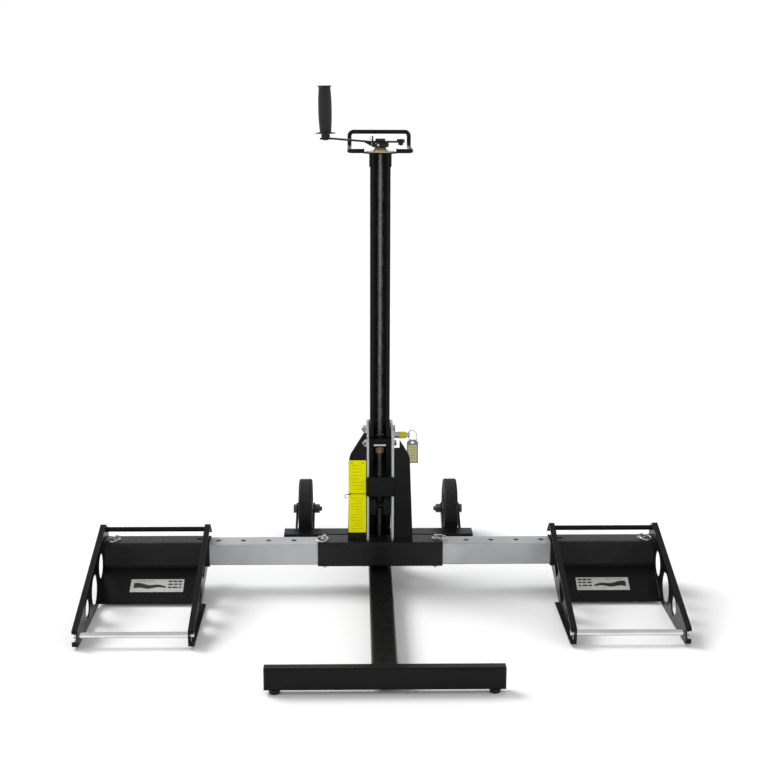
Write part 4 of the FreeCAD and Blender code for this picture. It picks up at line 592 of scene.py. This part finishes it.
def yellowCard():
    look = cardLook
    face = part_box("left_wing_plate")[0].y
    front = face - look["thickness"]
    width = look["right"] - look["left"]
    room = width - 2 * look["ruleMargin"]
    middle = (look["right"] + look["left"]) / 2
    half = look["creaseGap"] / 2
    shortest = look["shortestRule"]
    leaves, rules, slots = [], [], []
    for low, high, count in ((look["bottom"], look["crease"] - half, look["lowerRules"]),
                             (look["crease"] + half, look["top"], look["upperRules"])):
        leaves.append(flatOnFront(
            sheetForm(width, high - low, look["thickness"], look["corner"]),
            middle, face, (low + high) / 2))
        for row in range(count):
            share = (row + look["firstRule"]) / (count + look["spareSteps"])
            swing = abs(math.cos(look["ruleWaves"] * row + count))
            long = room * (shortest + (1 - shortest) * swing)
            rules.append(flatOnFront(
                ruleForm(long, look), middle - (room - long) / 2 * (-1) ** row, front,
                high - (high - low) * share))
    for hand in (-1, 1):
        slot = sheetForm(look["slotWidth"], look["slotHeight"], look["rulePrint"],
                         look["slotWidth"] / 9, 2)
        slots.append(flatOnFront(slot, middle + hand * look["slotPlace"] * width, front,
                                 look["top"] - look["slotWidth"]))
    slots.append(flatOnFront(ruleForm(look["creaseLine"] * width, look), middle, front,
                             look["crease"] + 2 * look["ruleHeight"]))
    newPiece("yellowCard", *joined(leaves), "labelYellow", "carriage", "yellow_plastic", False)
    newPiece("yellowCardRules", *joined(rules), "labelInk", "carriage", "yellow_plastic", False)
    newPiece("yellowCardSlots", *joined(slots), "blackInk", "carriage", "yellow_plastic", False)


hookLook = {
    "radius": 0.0008,
    "overlap": 0.006,
    "standOff": 0.0022,
    "reach": 0.010,
    "bend": 0.0042,
    # Angles of the curl in degrees, from just past its top round to just past its bottom
    "curlFrom": 15,
    "curlTo": 200,
    "curlSteps": 10,
}


def cardHook():
    # The small wire hook that holds the card at its crease
    look = hookLook
    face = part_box("left_wing_plate")[0].y
    start = Vector((cardLook["left"] + look["overlap"], face - look["standOff"],
                    cardLook["crease"]))
    turn = start + Vector((-look["reach"], 0, 0))
    path = [start, start.lerp(turn, 0.5), turn]
    path += arc(turn - Vector((0, 0, look["bend"])), (0, 0, 1), (-1, 0, 0), look["bend"],
                look["curlFrom"], look["curlTo"], look["curlSteps"])
    newPiece("cardHook", *wireForm(path, look["radius"]), "blackOxide", "carriage",
             "black_paint")


yellowCard()
cardHook()
print("yellow card placed")


# Silver stickers on the floor plates of the pans, with plain bars

stickerLook = {
    "tilt": 28.35,
    "width": 0.118,
    "height": 0.0367,
    "thickness": 0.0003,
    "corner": 0.0012,
    "downSlope": 0.0534,
    "inward": 0.0115,
    # Bars: place inwards and up, width and height, as shares of the sticker
    "bars": ((-0.23, 0.37, 0.34, 0.03),
             (0.24, 0.33, 0.07, 0.11), (0.33, 0.33, 0.08, 0.11), (0.425, 0.33, 0.08, 0.11),
             (0.25, 0.1, 0.09, 0.11), (0.35, 0.1, 0.07, 0.11), (0.43, 0.1, 0.06, 0.11),
             (0.24, -0.14, 0.07, 0.11), (0.34, -0.14, 0.1, 0.11), (0.435, -0.14, 0.05, 0.11)),
    "barPrint": 0.0001,
    "wave": {"left": -0.44, "right": 0.16, "height": 0.42, "taper": 0.68, "swing": 0.05,
             "fall": 0.1, "waves": 1.6, "tooth": 0.03, "steps": 36},
}


def wavyPatch(width, height, look, thickness, facing):
    # A printed band with a toothed top. It swings and narrows from the outer end of the
    # sticker to past its middle.
    points, faces = [], []
    steps = look["steps"]
    for step in range(steps + 1):
        share = step / steps
        x = (look["left"] + (look["right"] - look["left"]) * share) * width * facing
        swing = look["swing"] * math.sin(2 * math.pi * look["waves"] * share)
        middle = swing - look["fall"] * share
        half = look["height"] / 2 * (1 - look["taper"] * share)
        tooth = look["tooth"] * (-1) ** step
        for level in (0, thickness):
            points.append(Vector((x, (middle - half) * height, level)))
            points.append(Vector((x, (middle + half + tooth) * height, level)))
    for step in range(steps):
        here = step * 4
        faces += [(here, here + 1, here + 5, here + 4), (here + 2, here + 6, here + 7, here + 3),
                  (here, here + 4, here + 6, here + 2), (here + 1, here + 3, here + 7, here + 5)]
    faces += [(0, 2, 3, 1), (steps * 4, steps * 4 + 1, steps * 4 + 3, steps * 4 + 2)]
    return points, faces


def panSticker(side, sign):
    look = stickerLook
    low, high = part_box(side + "_floor_plate")
    slope = math.radians(look["tilt"])
    middle = sign * (abs(low.x + high.x) / 2 - look["inward"])
    down = Vector((0, -math.cos(slope), -math.sin(slope)))
    spot = Vector((middle, high.y, high.z)) + down * look["downSlope"]
    place = Matrix.Translation(spot) @ Matrix.Rotation(slope, 4, "X")
    foil = sheetForm(look["width"], look["height"], look["thickness"], look["corner"])
    newPiece(side + "PanSticker", *moved(foil, place), "stickerFoil", side + "_pan",
             "zinc", False)
    level = Matrix.Translation((0, 0, look["thickness"]))
    bars = [moved(wavyPatch(look["width"], look["height"], look["wave"], look["barPrint"], -sign),
                  place @ level)]
    for x, y, width, height in look["bars"]:
        bar = sheetForm(width * look["width"], height * look["height"], look["barPrint"],
                        height * look["height"] / 3, 2)
        raised = Matrix.Translation((-sign * x * look["width"], y * look["height"],
                                     look["thickness"]))
        bars.append(moved(bar, place @ raised))
    newPiece(side + "PanStickerBars", *joined(bars), "blackInk", side + "_pan",
             "black_paint", False)


# Spring clips through the ends of the front rods

clipLook = {
    "inset": 0.00525,
    "inner": {"wire": 0.0009, "leg": 0.011, "loop": 0.0038, "loopDrop": 0.0135, "hug": 0.0078},
    "outer": {"wire": 0.0012, "leg": 0.012, "loop": 0.0044, "loopDrop": 0.0172, "hug": 0.0081},
    # The loop's middle from the leg's foot, down and forward, in loop radii
    "loopPlace": (0.6, 0.8),
    # Turns: first and last angle in degrees, and steps
    "loopTurn": (205, -40, 12),
    "hugTurn": (48, -48, 8),
    # Points of the springy leg, down and forward from the rod's axis
    "neck": (0.0095, 0.0042),
    "shoulder": (-0.0088, 0.0036),
    "tail": (-0.0125, 0.0056),
}


def clipPath(centre, forward, look):
    # Down the straight leg, round the loop and back over the rod
    down = Vector((0, 0, -1))

    def spot(drop, ahead):
        return centre + down * drop + forward * ahead

    below, ahead = clipLook["loopPlace"]
    ring = spot(look["loopDrop"] + look["loop"] * below, look["loop"] * ahead)
    path = [spot(-look["leg"], 0), spot(look["loopDrop"], 0)]
    path += arc(ring, forward, down, look["loop"], *clipLook["loopTurn"])
    path.append(spot(*clipLook["neck"]))
    path += arc(centre, forward, down, look["hug"], *clipLook["hugTurn"])
    path += [spot(*clipLook["shoulder"]), spot(*clipLook["tail"])]
    return path


def frontRodClips(side):
    low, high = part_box(side + "_front_rod")
    clips = []
    for x in (low.x + clipLook["inset"], high.x - clipLook["inset"]):
        end = "outer" if abs(x) > abs(low.x + high.x) / 2 else "inner"
        look = clipLook[end]
        centre = Vector((x, (low.y + high.y) / 2, (low.z + high.z) / 2))
        clips.append(wireForm(clipPath(centre, Vector((0, -1, 0)), look), look["wire"]))
    newPiece(side + "FrontRodClips", *joined(clips), "brightZinc", side + "_pan", "zinc")


for side, sign in sides:
    panSticker(side, sign)
    frontRodClips(side)
print("pan stickers and clips placed")


# Small fasteners of the crank, and the card in the tag

crankLook = {
    "spikePlace": -0.0168,
    "spikeRadius": 0.0016,
    "spikeRise": 0.0125,
    "spikeSunk": 0.003,
    "spikeSides": 12,
    # The ring's place is a share of the spike's rise
    "ringPlace": 0.72,
    "ringRadius": 0.0032,
    "ringWire": 0.0009,
    "setScrewAngle": -104,
    "setScrewRadius": 0.0026,
    "setScrewSides": 20,
    # Radius shares and heights, from the buried end out to the rim and into the socket
    "setScrewProfile": ((0, -0.002), (1, -0.002), (1, 0.0006), (0.8, 0.0014), (0.45, 0.0018),
                        (0.4, 0.0008), (0, 0.0008)),
}


def crankFasteners():
    look = crankLook
    low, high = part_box("crank_hub")
    centre = (low + high) / 2
    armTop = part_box("crank_nut")[0].z
    foot = Vector((look["spikePlace"], centre.y, armTop - look["spikeSunk"]))
    head = foot + Vector((0, 0, look["spikeRise"]))
    tip = head + Vector((-look["spikeRadius"], 0, look["spikeRadius"] / 2))
    spike = wireForm([foot, foot.lerp(head, 0.5), head, tip], look["spikeRadius"],
                     look["spikeSides"])
    newPiece("crankSpike", *spike, "blackOxide", "crank", "black_steel")

    middle = foot.lerp(head, look["ringPlace"]) - Vector((look["ringRadius"], 0, 0))
    ring = wireForm(ringPath(middle, (1, 0, 0), look["ringRadius"]), look["ringWire"],
                    closed=True)
    newPiece("crankSpikeRing", *ring, "brightZinc", "crank", "zinc")

    angle = math.radians(look["setScrewAngle"])
    outward = Vector((math.cos(angle), math.sin(angle), 0))
    dome = lathe([(look["setScrewRadius"] * share, height)
                  for share, height in look["setScrewProfile"]], look["setScrewSides"])
    turn = outward.to_track_quat("Z", "Y").to_matrix().to_4x4()
    rim = centre + outward * (high.x - low.x) / 2
    newPiece("crankSetScrew", *moved(dome, Matrix.Translation(rim) @ turn), "brightZinc",
             "crank", "zinc")


tagLook = {
    "border": 0.003,
    "thickness": 0.0003,
    "corner": 0.002,
    "topGap": 0.013,
    "ruleHeight": 0.0008,
    "rulePrint": 0.0001,
    "ruleCount": 5,
    # Shares of the panel: the longest rule, and by how much the next two are shorter in turn
    "longestRule": 0.7,
    "ruleLoss": 0.08,
    # Also shares: the first rule above the panel's middle, and the step down to the next
    "firstRule": 0.36,
    "ruleStep": 0.16,
}


def tagPanel():
    look = tagLook
    low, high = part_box("pull_tag")
    width = high.x - low.x - 2 * look["border"]
    height = high.z - low.z - look["border"] - look["topGap"]
    middle = (low.x + high.x) / 2
    raised = low.z + look["border"] + height / 2
    panel = flatOnFront(sheetForm(width, height, look["thickness"], look["corner"]),
                        middle, low.y, raised)
    newPiece("tagPanel", *panel, "tagCard", "lock_plunger", "tag_card", False)
    rules = []
    for row in range(look["ruleCount"]):
        long = width * (look["longestRule"] - look["ruleLoss"] * (row % 3))
        rise = height * (look["firstRule"] - look["ruleStep"] * row)
        rules.append(flatOnFront(ruleForm(long, look), middle, low.y - look["thickness"],
                                 raised + rise))
    newPiece("tagRules", *joined(rules), "tagMetal", "lock_plunger", "tag_card", False)


crankFasteners()
tagPanel()
print("crank fasteners and tag placed")


# The light strip that lies in the mouth of the nut carrier

keeperLook = {
    "halfWidth": 0.0138,
    "lift": 0.00455,
    "height": 0.0045,
    "depth": 0.0055,
    "mouthDepth": 0.006,
    "edge": 0.0004,
}


def carrierKeeper():
    look = keeperLook
    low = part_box("nut_carrier")[0]
    half = look["halfWidth"]
    back = low.y + look["mouthDepth"]
    bottom = low.z + look["lift"]
    strip = slab((-half, back - look["depth"], bottom), (half, back, bottom + look["height"]),
                 look["edge"])
    newPiece("carrierKeeper", *strip, "brightZinc", "carriage", "zinc", False)


carrierKeeper()
print("keeper strip placed")


# Weld beads under the paint

weldLook = {
    "bead": 0.0026,
    "ripple": 0.16,
    "step": 0.0016,
    "fewestSteps": 2,
    "corner": 0.003,
    "earThickness": 0.004,
    "sheet": 0.003,
    "sideGap": 0.00275,
    "loopRod": 0.0048,
    # Sizes of the finer beads, as shares of the full bead
    "earShare": 0.8,
    "loopShare": 0.4,
    "panShare": 0.7,
}


def bead(corners, closed=False, size=1.0):
    # A bead along straight runs between corners
    path = []
    ends = corners + [corners[0]] if closed else corners
    for start, end in zip(ends, ends[1:]):
        start, end = Vector(start), Vector(end)
        steps = max(weldLook["fewestSteps"], int((end - start).length / weldLook["step"]))
        path += [start.lerp(end, step / steps) for step in range(steps)]
    if not closed:
        path.append(Vector(corners[-1]))
    return wireForm(path, weldLook["bead"] * size, closed=closed, ripple=weldLook["ripple"])


def rodBead(centre, radius, size):
    # A bead round a rod that runs along X
    return wireForm(ringPath(centre, (0, 1, 0), radius), weldLook["bead"] * size, closed=True,
                    ripple=weldLook["ripple"])


def frameWelds():
    look = weldLook
    beads = []
    low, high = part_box("base_tube")
    for y in (low.y, high.y):
        beads.append(bead([(low.x, y, low.z), (high.x, y, low.z), (high.x, y, high.z),
                           (low.x, y, high.z)], True))
    mastLow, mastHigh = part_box("mast_channel")
    beads.append(bead([(mastLow.x, mastLow.y, mastLow.z), (mastLow.x, mastHigh.y, mastLow.z),
                       (mastHigh.x, mastHigh.y, mastLow.z), (mastHigh.x, mastLow.y, mastLow.z)]))
    tubeLow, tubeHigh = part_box("rear_tube")
    tyreLow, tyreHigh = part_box("right_tyre")
    gap, ear = look["sideGap"], look["earThickness"]
    for sign in (-1, 1):
        for x in (tyreLow.x - gap - ear, tyreLow.x - gap, tyreHigh.x + gap,
                  tyreHigh.x + gap + ear):
            beads.append(bead([(sign * x, tubeHigh.y, tubeLow.z + ear),
                               (sign * x, tubeHigh.y, tubeHigh.z - ear)],
                              size=look["earShare"]))
    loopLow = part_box("handle_loop")[0]
    topLow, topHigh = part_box("top_plate")
    rod = look["loopRod"]
    for sign in (-1, 1):
        end = (sign * topHigh.x, (topLow.y + topHigh.y) / 2, loopLow.z + rod)
        beads.append(rodBead(end, rod, look["loopShare"]))
    newPiece("frameWelds", *joined(beads), "weldPaint", "base", "black_paint")


def carriageWelds():
    beads = []
    corner = weldLook["corner"]
    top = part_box("cross_tube")[1].z
    for name in ("left_wing_plate", "right_wing_plate"):
        low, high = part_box(name)
        for y in (low.y, high.y):
            beads.append(bead([(low.x + corner, y, top), (high.x - corner, y, top)]))
    newPiece("carriageWelds", *joined(beads), "weldPaint", "carriage", "black_paint")


def panWelds(side, sign):
    look = weldLook
    beads = []
    sleeveLow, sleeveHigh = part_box(side + "_pan_sleeve")
    floorLow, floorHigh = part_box(side + "_floor_plate")
    rodLow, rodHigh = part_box(side + "_back_rod")
    corner = look["corner"]
    inner = min(abs(floorLow.x), abs(floorHigh.x))
    outer = max(abs(floorLow.x), abs(floorHigh.x))
    for x in (inner, inner - look["sheet"], outer):
        beads.append(bead([
            (sign * x, sleeveLow.y, sleeveLow.z + corner),
            (sign * x, sleeveLow.y, sleeveHigh.z - corner),
            (sign * x, sleeveLow.y + corner, sleeveHigh.z),
            (sign * x, sleeveHigh.y - corner, sleeveHigh.z),
            (sign * x, sleeveHigh.y, sleeveHigh.z - corner),
            (sign * x, sleeveHigh.y, sleeveLow.z + corner),
        ], size=look["panShare"]))
    beads.append(bead([(sign * inner, floorHigh.y, floorHigh.z),
                       (sign * outer, floorHigh.y, floorHigh.z)], size=look["panShare"]))
    for x in (inner, outer):
        beads.append(bead([(sign * x, floorHigh.y, floorHigh.z),
                           (sign * x, floorLow.y + corner, floorLow.z + 2 * corner)],
                          size=look["panShare"]))
        centre = (sign * x, (rodLow.y + rodHigh.y) / 2, (rodLow.z + rodHigh.z) / 2)
        beads.append(rodBead(centre, (rodHigh.z - rodLow.z) / 2, look["panShare"]))
    newPiece(side + "PanWelds", *joined(beads), "weldPaint", side + "_pan", "black_paint")


frameWelds()
carriageWelds()
for side, sign in sides:
    panWelds(side, sign)
print("weld beads laid")


# Floor, lights and camera

studio = {
    "floorColor": (0.95, 0.95, 0.95),
    "floorRough": 0.85,
    "floorSpecular": 0.1,
    "floorReach": 60.0,
    # The pale room is brightest round the horizon and dimmer overhead
    "horizonGlow": 1.02,
    "horizonUpTo": 0.05,
    "overheadGlow": 0.6,
    "overheadFrom": 0.45,
    # The soft key comes from the back left, high up
    "keyTravel": (0.8, -0.45, -1.0),
    "keyStrength": 2.1,
    "keySoftness": 30,
    # Name: place, aim, width, depth, power
    "lamps": {
        "leftSoftbox": ((-3.2, -2.2, 2.2), (0, 0, 0.5), 1.6, 2.2, 14),
        "rightSoftbox": ((3.4, -1.6, 2.0), (0, 0, 0.5), 1.4, 2.0, 10),
    },
}


def buildStudio():
    reach = studio["floorReach"]
    mesh = bpy.data.meshes.new("studioFloor")
    mesh.from_pydata([(-reach, -reach, 0), (reach, -reach, 0), (reach, reach, 0),
                      (-reach, reach, 0)], [], [(0, 1, 2, 3)])
    floor = bpy.data.objects.new("studioFloor", mesh)
    bpy.context.scene.collection.objects.link(floor)
    paper = bpy.data.materials.new("studioPaper")
    paper.use_nodes = True
    shader = paper.node_tree.nodes["Principled BSDF"]
    shader.inputs["Base Color"].default_value = (*studio["floorColor"], 1)
    shader.inputs["Roughness"].default_value = studio["floorRough"]
    shader.inputs["Specular IOR Level"].default_value = studio["floorSpecular"]
    mesh.materials.append(paper)

    world = bpy.data.worlds.new("studioWorld")
    world.use_nodes = True
    tree = world.node_tree
    room = tree.nodes["Background"]
    room.inputs["Color"].default_value = (1, 1, 1, 1)
    place = tree.nodes.new("ShaderNodeTexCoord")
    split = tree.nodes.new("ShaderNodeSeparateXYZ")
    tree.links.new(place.outputs["Generated"], split.inputs["Vector"])
    glow = rangeNode(tree, split.outputs["Z"], studio["horizonUpTo"], studio["overheadFrom"],
                     studio["horizonGlow"], studio["overheadGlow"])
    tree.links.new(glow, room.inputs["Strength"])
    bpy.context.scene.world = world

    sun = bpy.data.lights.new("softKey", "SUN")
    sun.energy = studio["keyStrength"]
    sun.angle = math.radians(studio["keySoftness"])
    key = bpy.data.objects.new("softKey", sun)
    key.rotation_euler = Vector(studio["keyTravel"]).to_track_quat("-Z", "Y").to_euler()
    bpy.context.scene.collection.objects.link(key)

    for name, (spot, aim, width, depth, power) in studio["lamps"].items():
        light = bpy.data.lights.new(name, "AREA")
        light.shape = "RECTANGLE"
        light.size = width
        light.size_y = depth
        light.energy = power
        lamp = bpy.data.objects.new(name, light)
        lamp.location = spot
        lamp.rotation_euler = (Vector(aim) - Vector(spot)).to_track_quat("-Z", "Y").to_euler()
        bpy.context.scene.collection.objects.link(lamp)
    bpy.context.scene.view_settings.view_transform = "Standard"


# Angles in radians: level and along +Y at zero, and a positive pitch looks down

view = {
    "place": (-0.05377, -2.89345, 1.16486),
    "yaw": -0.020727,
    "pitch": 0.228238,
    "roll": 0.003095,
    "focalPixels": 1375,
    "framePixels": 768,
    "sensor": 36.0,
    "farEnd": 200,
}


def buildCamera():
    yaw, pitch, roll = view["yaw"], view["pitch"], view["roll"]
    ahead = Vector((-math.sin(yaw) * math.cos(pitch), math.cos(yaw) * math.cos(pitch),
                    -math.sin(pitch)))
    level = Vector((math.cos(yaw), math.sin(yaw), 0))
    upward = level.cross(ahead)
    right = level * math.cos(roll) + upward * math.sin(roll)
    top = upward * math.cos(roll) - level * math.sin(roll)
    turn = Matrix((right, top, -ahead)).transposed().to_4x4()
    camera = bpy.data.cameras.new("productCamera")
    camera.sensor_width = view["sensor"]
    camera.lens = view["sensor"] * view["focalPixels"] / view["framePixels"]
    camera.clip_end = view["farEnd"]
    rig = bpy.data.objects.new("productCamera", camera)
    rig.matrix_world = Matrix.Translation(view["place"]) @ turn
    bpy.context.scene.collection.objects.link(rig)
    bpy.context.scene.camera = rig


buildStudio()
buildCamera()
print("studio ready")
